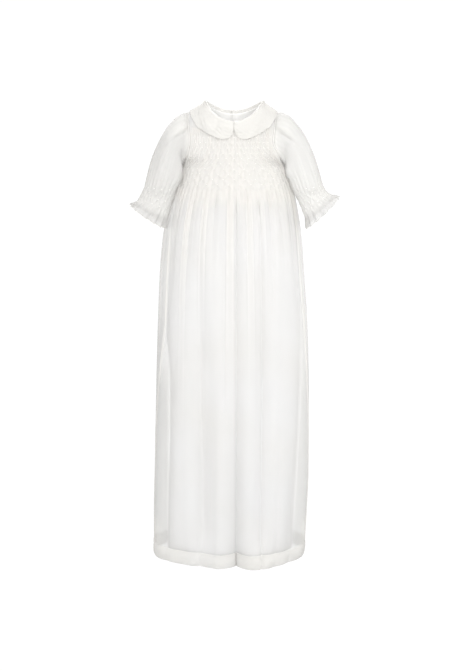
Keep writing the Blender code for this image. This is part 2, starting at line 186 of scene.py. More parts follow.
BODY = table("""
    height left right front back edge wrap
    -45 74 66 48 44 27 0.62
    -65 72 64 54 49 33 0.66
    -88 77 74 59 54 27 0.76
    -111 86 85 63 58 0 1.0
    -140 96 97 67 61 0 1.0
    -170 107 105 71 63 0 1.0
    -215 119 113 78 67 0 1.0
    -290 127 120 85 72 0 1.0
    -390 132 127 89 76 0 1.0
    -500 136 130 92 79 0 1.0
    -620 139 129 95 81 0 1.0
    -768 142 124 100 84 0 1.0
    -800 142 120 101 85 0 1.0
""")
ARMHOLE_LEVELS = BODY["height"][:4]
INSET = table("""
    height left right middle
    0 2.8 2.8 2.8
    -45 3.4 3.4 3.4
    -111 4 4 4.2
    -160 8 4.5 7
    -215 12 7 10
    -300 14 10 11
    -380 15 13 12
    -470 24 17 12
    -600 26 21 12
    -690 25 24 12
    -800 24 22 12
""")

# Folds: troughs that grow from one height to the next. top and foot are where they lie in
# degrees round the panel, half is the half width, and crease is 2 for a soft fold and less
# for a sharper one. A depth under zero is a ridge. fades and gone end the short ones, and the
# others run on to the hem.
UNDER_HEM = (-2000, -2001)
MAIN_FRONT = table("""
    top foot half depth starts grown crease fades gone
    2 2 7 9 -140 -270 1.3
    2 2 10 16 -370 -700 1.6
    20 23 8 8 -150 -330 1.7 -720 -800
    21 24 6 5 -280 -440 1.6 -730 -775
    -26 -25 7.5 9 -450 -640 1.7 -725 -772
    -30 -24 12 14 -160 -560 1.8
    -8 -7 6 3 -150 -280 2
    -45 -42 9 5 -330 -700 2
    64 68 14 -6 -330 -700 2
    -62 -68 12 -5 -330 -700 2
""", UNDER_HEM)
SHORT_FRONT = table("""
    top foot half depth starts grown crease fades gone
    2.2 2.0 1.2 3.6 -138 -170 1.1
    21 23.5 1.2 3.0 -138 -180 1.1
    -21 -27 2.0 1.6 -138 -190 1.3
    -6.5 -7 1.3 1.2 -138 -180 1.3 -420 -600
    -18 -17 2.6 2.4 -138 -165 1.6 -230 -330
    -37 -39 3.4 2.6 -138 -170 1.6 -210 -360
    -56 -57 4.0 2.6 -135 -170 1.8 -240 -380
    -12 -12 2.2 -1.6 -138 -160 2 -200 -300
    11 12 2.4 1.6 -138 -165 1.6 -200 -290
    32 33 2.8 2.6 -138 -165 1.6 -260 -380
    44 46 3.2 2.2 -138 -170 1.8 -210 -320
    57 59 4.0 2.8 -135 -175 1.8 -250 -390
    26 27 2.6 -1.6 -138 -170 2 -240 -340
    72 74 4.5 2.2 -135 -180 2 -300 -460
    -72 -74 4.5 2.4 -135 -180 2 -300 -460
    -24 -26 2.6 1.8 -300 -420 1.8 -560 -700
    38 36 3.2 1.8 -470 -640 1.8
    -14 -16 3.0 1.6 -520 -680 1.8
    52 50 3.6 1.8 -540 -700 1.8
    -58 -56 3.6 2.0 -500 -690 1.8
""", UNDER_HEM)
MAIN_BACK = table("""
    top foot half depth starts grown crease fades gone
    16 18 12 10 -180 -620 1.8
    -14 -17 12 13 -170 -680 1.8
    44 47 11 10 -260 -640 1.8
    -42 -46 12 9 -220 -560 1.8
""", UNDER_HEM)
SHORT_BACK = table("""
    top foot half depth starts grown crease fades gone
    -26 -27 3.2 2.6 -120 -170 1.6 -260 -400
    -58 -60 4.0 2.8 -120 -180 1.8 -300 -460
    28 30 3.2 2.6 -120 -170 1.6 -230 -380
    60 62 4.0 3.0 -120 -180 1.8 -280 -440
    36 35 3.0 -1.6 -130 -180 2 -240 -360
    -34 -34 3.0 -1.8 -130 -180 2 -280 -400
    -74 -72 4.5 2.4 -420 -600 1.8
    72 70 4.5 2.2 -460 -640 1.8
""", UNDER_HEM)
# The lining's side seams, and where the front's laps and the painted shade down its sides begin, as heights
# down and shares of the half width.
LEFT_SEAM = ((200, 300, 366, 451, 530, 570), (0.70, 0.69, 0.685, 0.77, 0.845, 0.87))
RIGHT_SEAM = ((200, 420, 570), (0.76, 0.80, 0.86))
LEFT_LAP_AND_SHADE = 0.61
RIGHT_LAP_AND_SHADE = ((470, 540, 600, 680, 730), (0.675, 0.655, 0.63, 0.61, 0.595))
# The hem's section: how far under its upper edge each row lies, and how far off the panel.
HEM_DROPS = (0, 0.8, 1.8, 3.2, 6, 10, 15, 20, 23, 24.4, 24.9, 24.4, 23, 18, 12, 6, 1)
HEM_LIFTS = (0.45, 0.75, 0.6, 1.1, 1.6, 1.9, 1.9, 1.6, 1.3, 0.8, 0, -0.7, -1, -1.1, -1, -0.8, -0.5)

# Each sleeve. over is how far its inner front laps over the chest, which starts at the ring
# over_from and dies out over the rings of over_until. pit is the line of the armpit's crease.
# The three after pit, from 0 to 1, paint the cloth: painted shade on the puff and on the frill,
# strongest on the left sleeve, where the frill also laps over itself, and a paler, clearer inner
# side, painted light that lifts the armpit's shade.
SLEEVES = {
    "left": {
        "side": -1, "seed": 61, "over": 6.0, "over_from": 0.8, "over_until": (7.0, 5.8),
        "pit": ((79, -46), (108, -62)), "laps_and_painted_shade": 0.45, "frill": 0.9, "thin_and_painted_pale": 1.0,
        "rings": table("""
            ring outer_x outer_z inner_x inner_z depth forward
            1 82 -20 88.5 -110 35 0
            2 95 -26 91 -112 38 1
            3 110 -42 93 -115 41 4
            4 124 -66 94.5 -118 42 9
            5 136 -94 95 -124 40 15
            6 143 -119 97 -133 36 21
            7 148.5 -141 99 -147 31 26
            8 153 -150 103 -163 26 29
            9 158.5 -160 108 -180 26 31
            10 164 -166 112 -195 30 33
            11 171 -170 116 -207 35 35
        """),
    },
    "right": {
        "side": 1, "seed": 73, "over": 4.5, "over_from": 1.6, "over_until": (5.8, 4.4),
        "pit": ((66, -42), (104, -65.5)), "laps_and_painted_shade": 0.1, "frill": 0.6, "thin_and_painted_pale": 0.45,
        "rings": table("""
            ring outer_x outer_z inner_x inner_z depth forward
            1 77 -19 87.5 -110 35 0
            2 90 -24 90 -112 38 1
            3 106 -41 92 -114 41 4
            4 121 -65 93.5 -117 42 9
            5 134 -93 94 -123 40 15
            6 142 -118 96 -132 36 21
            7 148 -139 100 -146 31 26
            8 152 -146 108 -162 26 28
            9 159 -152 115 -180 26 30
            10 167 -154 120 -194 30 32
            11 174 -157 122 -207 35 34
        """),
    },
}
for cut in SLEEVES.values():  # the puff's inner side swells towards the chest
    to_chest = 6.5 * bell(cut["rings"]["ring"], 4.7, 2.5)
    cut["rings"]["inner_x"] = cut["rings"]["inner_x"] - to_chest
PIT_CREASE = ((2.3, 7, 8), (-2.6, -3, 3.2), (-1.4, -12, 10))  # height, place and half width

COLLAR = table("""
    around width raised
    2 19 0
    9 28 0
    20 33 0
    45 34 0
    90 27 0
    140 35 0.4
    160 35 2.0
    172 32 2.0
    178 18 2.0
""")
# How far the collar's middle lies above the form, from the neck at 0 to its outer edge at 1.
COLLAR_LIFT = ((0, 0.12, 0.35, 0.7, 1.0), (3.0, 3.1, 2.7, 2.1, 1.35))
# The roll at the neck, as heights over the neck line and distances out from it.
COLLAR_ROLL = ((4.9, 1.0), (5.3, 1.7), (4.6, 2.5), (3.2, 3.0), (1.7, 3.1))
# The binding's section: up along the cloth and out from it.
BINDING_RISES = (0.0, 1.2, 2.6, 4.0, 4.6, 4.9, 4.6, 4.0, 2.6, 1.2, 0.0, -1.6, -3.4, -4.2)
BINDING_LIFTS = (
    0.75, 0.95, 0.95, 0.85, 0.55, 0.0, -0.55, -0.85, -0.95, -1.1, -1.4, -2.1, -2.9, -3.3,
)
PLACKET_LENGTH = 118.0
PLACKET_START = 3.0
GATHERS_LIFT = 1.1       # what the back's gathers add under the strip
PLACKET_LIFT = ORGANZA_SOLID / 2 + GATHERS_LIFT + SEAM + BAND_SOLID / 2
# Half of the strip's section: how far from its middle, and how far above it.
PLACKET_HALF = [(8, -0.5), (8.15, 0), (8, 0.35), (7, 0.5), (6.2, 0.3), (5, 0.45), (2.5, 0.5), (0, 0.5)]
BUTTON_RADIUS = 5.0
BUTTON_THICKNESS = 2.2
BUTTON_DROPS = (42.0, 73.0, 104.0)
BUTTON_LIFT = PLACKET_LIFT + BAND_SOLID / 2 + SEAM + BUTTON_THICKNESS / 2
RIM = 0.9
DISH_DEPTH = 0.55
DISH_EDGE = (0.35, 1.2)  # the dish's slope, and its floor's edge
HOLE_RADIUS = 0.55
HOLE_PLACE = 1.15
DRILL_LENGTH = 6.0


# --- finishes ---
def add_node(tree, kind, values=(), wires=(), **settings):
    """A shader node with its settings, its sockets' values and the outputs wired into it."""
    node = tree.nodes.new("ShaderNode" + kind)
    for name, setting in settings.items():
        setattr(node, name, setting)
    for socket, value in dict(values).items():
        node.inputs[socket].default_value = value
    for socket, output in dict(wires).items():
        tree.links.new(output, node.inputs[socket])
    return node


def new_finish(name, colour, values):
    """A material, its node tree and its shader, with the values set on the shader's sockets."""
    material = bpy.data.materials.new(name)
    material.use_nodes = True
    material.diffuse_color = (*colour, 1)
    shader = material.node_tree.nodes["Principled BSDF"]
    for socket, value in values.items():
        shader.inputs[socket].default_value = value
    return material, material.node_tree, shader


def uneven_tone(tree, place, noise, darker, paler, paler_from):
    """A colour that wanders slowly between two tones."""
    cloud = add_node(tree, "TexNoise", noise, {"Vector": place})
    shades = add_node(tree, "ValToRGB", wires={"Fac": cloud.outputs["Fac"]})
    for element, position, tone in zip(shades.color_ramp.elements, (0.3, paler_from), (darker, paler)):
        element.position = position
        element.color = (*tone, 1)
    return shades.outputs["Color"]


def woven_finish(name, colour, alpha, roughness=0.6, sheen=0.05, threads=700, crumple=0.35, dense=()):
    """Woven cloth: crossing threads on the cut's own UVs, uneven tone and a faint crumple.

    dense names attributes, each with the colour and the opacity of the cloth where it is 1:
    where pleats lie close or the cloth laps over itself, and where paler colours paint light and
    darker ones paint shade on the cloth.
    """
    material, tree, shader = new_finish(name, colour, {
        "Roughness": roughness, "Alpha": alpha, "IOR": 1.45, "Specular IOR Level": 0.12,
        "Sheen Weight": sheen, "Sheen Roughness": 0.4,
    })
    cut = add_node(tree, "UVMap", uv_map="cut").outputs["UV"]
    wave = {"Scale": threads, "Distortion": 0.6, "Detail": 1.0}
    weft, warp = (
        add_node(tree, "TexWave", wave, {"Vector": cut}, wave_type="BANDS", bands_direction=way)
        for way in ("X", "Y")
    )
    both = add_node(tree, "Math", wires={0: weft.outputs["Fac"], 1: warp.outputs["Fac"]}, operation="ADD")
    weave = add_node(tree, "Bump", {"Strength": 0.25, "Distance": 0.00008}, {"Height": both.outputs[0]})
    place = add_node(tree, "TexCoord").outputs["Object"]
    noise = {"Scale": 46.0, "Detail": 3.0, "Roughness": 0.55}
    creases = add_node(tree, "TexNoise", noise, {"Vector": place})
    creased = add_node(
        tree, "Bump", {"Strength": crumple, "Distance": 0.0012},
        {"Height": creases.outputs["Fac"], "Normal": weave.outputs["Normal"]},
    )
    tree.links.new(creased.outputs["Normal"], shader.inputs["Normal"])

    darker = [part * share for part, share in zip(colour, (0.985, 0.98, 0.965))]
    tone = uneven_tone(tree, place, {"Scale": 9.0, "Detail": 2.0}, darker, colour, 0.7)
    opacity = None
    for attribute, dense_colour, dense_alpha in dense:
        dense_and_painted = add_node(tree, "Attribute", attribute_name=attribute).outputs["Fac"]
        wires = {"Factor": dense_and_painted, "A": tone}
        tone = add_node(tree, "Mix", {"B": (*dense_colour, 1)}, wires, data_type="RGBA").outputs["Result"]
        wires = {"Value": dense_and_painted, "To Min": opacity} if opacity else {"Value": dense_and_painted}
        solid = add_node(tree, "MapRange", {"To Min": alpha, "To Max": dense_alpha}, wires)
        opacity = solid.outputs["Result"]
        tree.links.new(opacity, shader.inputs["Alpha"])
    tree.links.new(tone, shader.inputs["Base Color"])
    return material


def pearl_finish():
    """Milky shell with faint cloudy bands and a soft gloss."""
    gloss = {"Roughness": 0.22, "Coat Weight": 0.6, "Coat Roughness": 0.08}
    material, tree, shader = new_finish("pearl_shell", (0.94, 0.92, 0.88), gloss)
    place = add_node(tree, "TexCoord").outputs["Object"]
    cloud = {"Scale": 260.0, "Detail": 3.0, "Distortion": 1.4}
    tone = uneven_tone(tree, place, cloud, (0.86, 0.83, 0.78), (0.97, 0.96, 0.94), 1.0)
    tree.links.new(tone, shader.inputs["Base Color"])
    return material


SHEER = (0.83, 0.826, 0.816)
organza = woven_finish("sheer_organza", SHEER, 0.3)
organza_front = woven_finish("smocked_organza", SHEER, 0.3, dense=(
    # The first colour is darker: painted shade down the sides and towards the hem, where the cloth also
    # laps. The second is close pleats, with a paler, denser patch of painted light over the hem's corners.
    ("laps_and_painted_shade", (0.68, 0.675, 0.662), 0.54),
    ("gathers_and_painted_light", (0.85, 0.83, 0.795), 0.55),
))
organza_sleeve = woven_finish("sleeve_organza", (0.81, 0.805, 0.79), 0.33, crumple=0.4, dense=(
    # Paler, clearer cloth painted in to lift the armpit's shade
    ("thin_and_painted_pale", (0.86, 0.85, 0.83), 0.16),
    # Painted shade on the left puff and on the frills, where the frill also laps
    ("laps_and_painted_shade", (0.62, 0.61, 0.595), 0.54),
    # Close gathers, paler above the armpit's crease and on the front as painted light
    ("gathers_and_painted_light", (0.84, 0.828, 0.80), 0.50),
))
organza_doubled = woven_finish("doubled_organza", (0.95, 0.94, 0.92), 0.6, sheen=0.1)
organza_collar = woven_finish("collar_organza", (0.84, 0.827, 0.80), 0.65, sheen=0.1, crumple=0.5)
organza_edge = woven_finish("turned_organza", (0.89, 0.88, 0.86), 0.45, crumple=0.2)
lawn = woven_finish("cotton_lawn", (0.852, 0.852, 0.862), 1.0, 0.8, threads=500, crumple=0.25)
# The back's lining is the same lawn, painted paler to stand for light inside the neck.
lawn_painted_paler = woven_finish("cotton_lawn_painted_paler", (0.94, 0.936, 0.925), 1.0, 0.8, threads=500, crumple=0.25)
floss = woven_finish("ivory_floss", (0.82, 0.80, 0.765), 1.0, 0.5, sheen=0.2, threads=900, crumple=0.1)
pearl = pearl_finish()


# --- cloth ---
def deselect():
    for chosen in list(bpy.context.selected_objects):
        chosen.select_set(False)


def add_piece(name, points, faces, finish, uv=None):
    """A piece from points in metres, its UVs seen from the front unless they are given."""
    mesh = bpy.data.meshes.new(name)
    mesh.from_pydata(points.tolist(), [], faces)
    if uv is None:
        uv = points[[corner for face in faces for corner in face]][:, [0, 2]]
    mesh.uv_layers.new(name="cut").data.foreach_set("uv", uv.reshape(-1))
    mesh.materials.append(finish)
    mesh.shade_smooth()
    piece = bpy.data.objects.new(name, mesh)
    bpy.context.scene.collection.objects.link(piece)
    return piece


def cloth(name, points, finish, wall, width, closed=False, **dense):
    """A thin sheet through a grid of points, its UVs in metres of the flat cut.

    dense gives, by name and from 0 to 1, where pleats lie close and where the cloth laps, and where painted
    light and painted shade fall on it.
    """
    rows, columns = points.shape[:2]
    number = np.arange(rows * columns).reshape(rows, columns)
    if closed:
        number = np.hstack([number, number[:, :1]])
    steps = np.linalg.norm(np.diff(points, axis=0), axis=2).mean(axis=1) * MM
    down = -np.concatenate([[0.0], np.cumsum(steps)])
    uv = np.stack(np.meshgrid(np.linspace(0, width, number.shape[1]), down), axis=-1)
    faces = corners(number).reshape(-1, 4).tolist()
    piece = add_piece(name, points.reshape(-1, 3) * MM, faces, finish, corners(uv))
    for attribute, values in dense.items():
        closely = piece.data.attributes.new(attribute, "FLOAT", "POINT")
        closely.data.foreach_set("value", np.clip(values, 0, 1).reshape(-1).astype(np.float32))
    solid = piece.modifiers.new("wall", "SOLIDIFY")
    solid.thickness = wall * MM
    solid.offset = 0.0
    return piece


def fold_depths(folds, angle, height):
    """How deep the folds of a table are at angles round a panel, in degrees, and heights."""
    depth = np.zeros(np.broadcast(angle, height).shape)
    for i in range(len(folds["top"])):
        fold = {name: column[i] for name, column in folds.items()}
        grown = ease((fold["starts"] - height) / (fold["starts"] - fold["grown"]))
        left = 1 - ease((fold["fades"] - height) / (fold["fades"] - fold["gone"]))
        middle = fold["top"] + (fold["foot"] - fold["top"]) * grown
        away = np.abs((angle - middle) / fold["half"])
        depth += fold["depth"] * grown * left * np.exp(-(away ** fold["crease"]))
    return depth


def side_fullness(across, height):
    """How far the front stands out beside the underarms, and down the right side of the skirt."""
    open_edge = ease(height, -114, -84)
    near = bell(np.abs(across), 0.90, 0.25) * np.maximum(ease(np.abs(across), 1.0, 0.93), open_edge)
    chest = CHEST_FULLNESS * ease(height, -45, -88) * ease(height, -260, -180)
    skirt = SKIRT_FULLNESS * ease(height, -200, -300) * ease(height, -770, -560) * (across > 0)
    return near * (chest + skirt)


def half_width(columns, across, height):
    return np.where(across < 0, curve(columns, "left", height), curve(columns, "right", height))


def level_points(across, height, back, lined, short=True):
    """Points on the gown's form. across runs from -1 at one side edge to 1 at the other."""
    across, height = np.broadcast_arrays(np.asarray(across, float), np.asarray(height, float))
    width = half_width(BODY, across, height)
    depth = curve(BODY, "back" if back else "front", height)
    edge = curve(BODY, "edge", height)
    if lined:
        width = width - half_width(INSET, across, height)
        depth = depth - curve(INSET, "middle", height)
        edge = edge - np.where(height > -105, 1.6, 0.0)
    half_turn = math.pi / 2 * curve(BODY, "wrap", height)
    turn = half_turn * across
    bulge = (np.cos(turn) - np.cos(half_turn)) / (1 - np.cos(half_turn))
    angle = 90 * across
    folds = fold_depths(MAIN_BACK if back else MAIN_FRONT, angle, height)
    if back:
        folds = folds * (1 - bell(angle, 0, CENTRE_FLAT))
    if short and not lined:
        folds = folds + fold_depths(SHORT_BACK if back else SHORT_FRONT, angle, height)
    x = width * np.sin(turn) / np.sin(half_turn)
    y = edge + (depth - edge) * bulge
    if not back:
        y = y + side_fullness(across, height)
    plan = unit(np.stack([x / width**2, y / np.maximum(depth, 1) ** 2], axis=-1))
    x = x - folds * plan[..., 0]
    y = y - folds * plan[..., 1]
    return np.stack([x, y if back else -y, height], axis=-1)


def top_points(across, back, inset=0.0):
    """Points on a panel's top edge: round the neck, then along the shoulder."""
    share, side = np.abs(across), np.where(across < 0, -1.0, 1.0)
    start = NECK_HALF_WIDTH + NECK_TURNING
    reach = (NECK_BACK if back else NECK_FRONT) + NECK_TURNING - 0.8 * inset
    drop = NECK_DROP_BACK if back else NECK_DROP_FRONT
    angle = math.pi / 2 * np.minimum(share / NECK_SHARE, 1.0)
    lowered = np.maximum(np.cos(angle), 0.0)
    neck_x = start * np.sin(angle) * side
    neck_y = (1 if back else -1) * reach * lowered
    neck_z = -BINDING_HEIGHT - inset - drop * lowered ** (1.9 if back else 1.5) + 0.5 * inset * lowered
    along = np.clip((share - NECK_SHARE) / (1 - NECK_SHARE), 0, 1)
    tip = np.where(side > 0, SHOULDER_TIPS[1], SHOULDER_TIPS[0]) - inset * 0.9
    shoulder_x = (start + (tip - start) * along) * side
    shoulder_z = -BINDING_HEIGHT - inset + (BINDING_HEIGHT - SHOULDER_DROP) * along
    neck = np.stack([neck_x, neck_y, neck_z], axis=-1)
    shoulder = np.stack([shoulder_x, np.zeros_like(along), shoulder_z], axis=-1)
    return np.where((share <= NECK_SHARE)[..., None], neck, shoulder)


def form_points(across, height, blend, back, lined=False, short=True):
    """Points of a panel. blend goes from 0 at the top edge to 1 at the chest level and under it."""
    across, height, blend = np.broadcast_arrays(across, height, blend)
    level = level_points(across, np.minimum(height, CHEST_LEVEL), back, lined, short)
    chest = level_points(across, CHEST_LEVEL, back, lined, short)
    under = level_points(across, CHEST_LEVEL - 8, back, lined, short)
    top = top_points(across, back, LINING_TOP_INSET if lined else 0.0)
    control = chest + (chest - under) / 8 * (0.55 * (top[..., 2:] - CHEST_LEVEL))
    b = blend[..., None]
    over = top * (1 - b) ** 2 + control * 2 * b * (1 - b) + chest * b**2
    return np.where(b < 1, over, level)


def hem_heights(across, back):
    """The hem hangs a little lower at the centre front."""
    if back:
        return HEM_SIDE - HEM_BACK_DIP * (1 - across**6)
    return HEM_SIDE - HEM_FRONT_DIP * np.cos(math.pi / 2 * across) ** 2


def panel_rows(across, back, fine, over, rest, rise=0.0):
    """Heights and blends of a panel's rows: over the chest, at the fine heights, and to the hem."""
    blend = np.concatenate([np.linspace(0, 1, over + 1)[:-1], np.ones(len(fine) + rest)])
    heights = np.concatenate([CHEST_LEVEL * blend[:over], fine])
    height = np.repeat(heights[:, None], across.shape[-1], axis=1)
    hem = hem_heights(across, back) + rise
    lower = heights[-1] + (hem - heights[-1]) * (np.arange(1, rest + 1) / rest)[:, None]
    height = np.vstack([height, lower])
    return height, np.broadcast_to(blend[:, None], height.shape)


def set_seams(points, back, span):
    """The panel's edges meet their neighbours with a hair's width between the sheets."""
    turned = 1 if back else -1
    across = np.linspace(span[0], span[1], points.shape[1])
    shoulder = np.abs(across) > NECK_SHARE - 0.001
    points[0, shoulder, 1] = turned * SIDE_GAP
    for column in (0, -1):
        if abs(across[column]) > 0.999:
            depth = np.maximum(turned * points[1:, column, 1], 0.0)
            points[1:, column, 1] = turned * depth + turned * SIDE_GAP
        elif back:
            points[:, column, 0] = CENTRE_GAP if span[0] == 0 else -CENTRE_GAP
    return points


def stitched_in(place, turn, held):
    """Where the honeycomb's stitches draw two pleats together, from 0 to 1."""
    return np.clip(-np.cos(math.pi * place) * turn, 0, 1) ** 1.4 * held


def lining_seam(across, height):
    """How far past the lining's side seam the front is, and how much the seam shows there."""
    left = across < 0
    seam = np.where(left, np.interp(-height, *LEFT_SEAM), np.interp(-height, *RIGHT_SEAM))
    shows = np.where(left, ease(height, -190, -250), ease(height, -200, -330))
    return np.abs(across) - seam, shows


def front_density(across, height, tall):
    """Where the front's pleats lie close and the cloth laps over itself, from 0 to 1, with painted shade
    down the sides and towards the hem, and painted light over the hem's corners.
    """
    out, left = np.abs(across), across < 0
    past, shows = lining_seam(across, height)
    chest = 0.8 * ease(height, -170, -135) * ease(height, -20, -60)
    turned_under = ease(past, 0.0, 0.03) * ease(past, 0.11, 0.06) * ease(height, -480, -600)
    seam = 0.85 * np.maximum(bell(past, 0, 0.016), turned_under) * shows
    # A paler, denser patch at the hem's corners: painted light over the back's shaded hem that shows
    # through there.
    painted_light_hem_corners = 0.6 * (ease(out, 0.62, 0.80) * ease(height, -706, -734))
    gathers_and_painted_light = np.maximum(np.maximum(np.maximum(tall / LOOSE_TALL, chest), seam), painted_light_hem_corners)
    # Darker past these lines down the sides: painted shade where the cloth also laps, weaker on the right,
    # with a strip of painted shade on the left only and a faint painted shade towards the hem.
    lap_and_shade_at = np.where(left, LEFT_LAP_AND_SHADE, np.interp(-height, *RIGHT_LAP_AND_SHADE))
    laps_and_painted_shade = ease(out, lap_and_shade_at - 0.03, lap_and_shade_at + 0.03) * ease(height, -400, -500)
    strip = ease(past, 0.0, 0.03) * (0.5 * ease(height, -190, -240) + 0.5 * ease(height, -320, -420))
    laps_and_painted_shade = np.maximum(laps_and_painted_shade * np.where(left, 1.0, 0.75), strip * left) * ease(out, 0.99, 0.90)
    return {"gathers_and_painted_light": gathers_and_painted_light, "laps_and_painted_shade": np.maximum(laps_and_painted_shade, 0.10 * ease(height, -540, -770))}


def front_cloth():
    """The front's organza: gathered at the neck, smocked in a honeycomb, then let out in folds."""
    place = np.linspace(0, FRONT_PLEATS, FRONT_PLEATS * FRONT_FINE + 1)
    fine = np.concatenate([np.arange(CHEST_LEVEL, SMOCK_END, -1.2), np.arange(SMOCK_END, PLEATS_END, -3.8)])
    height, blend = panel_rows(2 * place / FRONT_PLEATS - 1, False, fine, *FRONT_ROWS)
    place = np.broadcast_to(place, height.shape)
    held = ease(height, SMOCK_TOP + 5, SMOCK_TOP - 4) * ease(height, SMOCK_END - 5, SMOCK_END + 3)
    side = ease(np.abs(2 * place / FRONT_PLEATS - 1), 0.97, 0.84)
    uneven = slow_waves(place / 9, height / 40, 7, 9, (0.6, 1.6))
    turn = np.cos(math.pi * (height - SMOCK_TOP) / CELL + 0.6 * uneven)
    wobble = 0.1 * slow_waves(place / 3, height / 14, 9, 9, (0.6, 1.8))
    shift = (SHIFT * (1 + 0.4 * uneven) * np.sin(math.pi * place) * turn + wobble) * held * side
    across = 2 * (place + shift) / FRONT_PLEATS - 1
    points = form_points(across, height, blend, False)
    out = grid_normals(points)

    # Each pleat has its own strength and lets go at its own height, and nine run on much further.
    luck = np.random.default_rng(11)
    reach = luck.uniform(20, 55, FRONT_PLEATS + 1)
    reach[luck.permutation(FRONT_PLEATS)[:9]] *= 2.4
    strength = luck.uniform(0.8, 1.25, FRONT_PLEATS + 1)
    pleat = np.minimum(place.astype(int), FRONT_PLEATS)
    below = np.maximum(SMOCK_END - height, 0)
    let_go = np.exp(-((below / reach[pleat]) ** 1.3)) * (1 + 0.35 * bell(below, 14, 12))
    neck = NECK_TALL * ease(np.abs(across), 0.72, 0.4)
    gathers = neck + (CHEST_TALL - neck) * ease(height, -22, SMOCK_TOP)
    tall = np.where(height > SMOCK_TOP + 6, gathers, LOOSE_TALL * let_go)
    tall = tall + (SMOCKED_TALL - tall) * held
    tall = tall * strength[pleat] * side * ease(blend, -0.02, 0.12)
    ridge = 1 - np.abs(np.cos(math.pi * place)) ** 2.2
    pinch = stitched_in(place, turn, held)
    relief = tall * (ridge * (1 - 0.2 * turn**4 * held) + (1 - ridge) * 0.55 * pinch)
    relief = relief - tall * 0.45
    # The cloth swells where it leaves the smocking, and is tucked at the lining's side seams.
    swell = 1.6 * bell(height, -166, 24) * side
    ripple = 0.5 * slow_waves(across * 0.8, height / 420, 5) * ease(height, -150, -260) * side
    past, shows = lining_seam(across, height)
    tuck = 1.1 * bell(past, 0, 0.012) * shows - 0.8 * bell(past, -0.03, 0.018) * shows
    points = points + out * (relief + swell + ripple + tuck)[..., None]
    return set_seams(points, False, (-1, 1)), height, front_density(across, height, tall)


def back_cloth(span, seed):
    """One half of the back's organza, gathered at the neck and let out in folds."""
    place = np.linspace(0, BACK_PLEATS, BACK_PLEATS * BACK_FINE + 1)
    across = span[0] + (span[1] - span[0]) * place / BACK_PLEATS
    height, blend = panel_rows(across, True, np.arange(CHEST_LEVEL, PLEATS_END, -3.4), *BACK_ROWS)
    place = np.broadcast_to(place, height.shape)
    across = np.broadcast_to(across, height.shape)
    points = form_points(across, height, blend, True)
    turned = -grid_normals(points)
    luck = np.random.default_rng(seed)
    reach = luck.uniform(70, 200, BACK_PLEATS + 1)
    strength = luck.uniform(0.6, 1.3, BACK_PLEATS + 1)
    pleat = np.minimum(place.astype(int), BACK_PLEATS)
    ridge = 1 - np.abs(np.cos(math.pi * place)) ** 1.8
    side = ease(np.abs(across), 0.98, 0.88) * ease(np.abs(across), 0.06, 0.13)
    grown = BACK_TALL[0] + BACK_TALL[1] * ease(height, -20, -130)
    let_go = np.exp(-((np.maximum(-130 - height, 0) / reach[pleat]) ** 1.5))
    tall = grown * let_go * strength[pleat] * side * ease(blend, -0.02, 0.12)
    ripple = 0.5 * slow_waves(across * 0.8, height / 420, seed + 1) * ease(height, -150, -260) * side
    points = points + turned * (tall * (ridge - 0.5) + ripple)[..., None]
    return set_seams(points, True, span)[:, ::-1]


def lining_cloth(back, span, seed):
    """A panel of the lining, smooth, with the main folds and a few soft ones of its own."""
    across = np.linspace(*span, LINING_HALF_COLUMNS * (span[1] - span[0]) + 1)
    fine = np.arange(CHEST_LEVEL, PLEATS_END, -8.0)
    height, blend = panel_rows(across, back, fine, *LINING_ROWS, rise=LINING_SHORTER)
    across = np.broadcast_to(across, height.shape)
    points = form_points(across, height, blend, back, lined=True)
    outer = form_points(across, height, blend, back, short=False)
    turned = -1 if back else 1
    over = outer - turned * grid_normals(outer) * LINING_UNDER_PLEATS
    share = ease(height, -52, -40)[..., None]
    points = points * (1 - share) + over * share
    side = ease(np.abs(across), 1.0, 0.85)
    ripple = 0.6 * slow_waves(across * 1.1, height / 500, seed) * ease(height, -120, -240) * side
    lift = (ripple - 0.6 * ease(height, -60, -45))[..., None]
    points = points + turned * grid_normals(points) * lift * side[..., None]
    points[..., 1] = -turned * np.maximum(-turned * points[..., 1], 0.6 * ease(height, -120, -60))
    points = set_seams(points, back, span)
    if back and span[0] == 0:
        # Its top laps over the other back at the opening.
        lap = ease(points[:, :4, 2], -105, -75)
        points[:, 0, 0] -= 4.6 * lap[:, 0]
        points[:, :4, 1] -= lap * np.array([1.3, 1.3, 0.8, 0.3])
    return points[:, ::-1] if back else points


def hem_cloth(back, span):
    """The turned-up hem: down the outside, round the fold and up the inside of the panel's foot."""
    across = np.linspace(*span, HEM_HALF_COLUMNS * (span[1] - span[0]) + 1)
    hem = hem_heights(across, back)
    turned = -1 if back else 1
    rows = []
    for drop, lift in zip(HEM_DROPS, HEM_LIFTS):
        height = hem + HEM_DEPTH - drop
        three = np.stack([height + 2, height, height - 2])
        points = form_points(across[None, :] + 0 * three, three, 1.0 + 0 * three, back)
        out = turned * grid_normals(points)[1]
        wave = 1 + 0.25 * np.sin(across * 37 + drop * 0.1) * (lift > 1)
        rows.append(points[1] + out * (lift * wave)[:, None])
    points = np.array(rows)
    for column in (0, -1):
        if abs(across[column]) > 0.999:
            points[:, column, 1] = -turned * SIDE_GAP
        elif back:
            points[:, column, 0] = HEM_CENTRE_GAP if span[0] == 0 else -HEM_CENTRE_GAP
    return points[:, ::-1] if back else points


SPANS = {"front": (-1, 1), "back_left": (-1, 0), "back_right": (0, 1)}
front_points, front_heights, front_dense = front_cloth()
gowns = {
    "front": front_points,
    "back_left": back_cloth(SPANS["back_left"], 21),
    "back_right": back_cloth(SPANS["back_right"], 33),
}
linings = {
    panel: lining_cloth(panel != "front", span, seed)
    for (panel, span), seed in zip(SPANS.items(), (41, 43, 47))
}

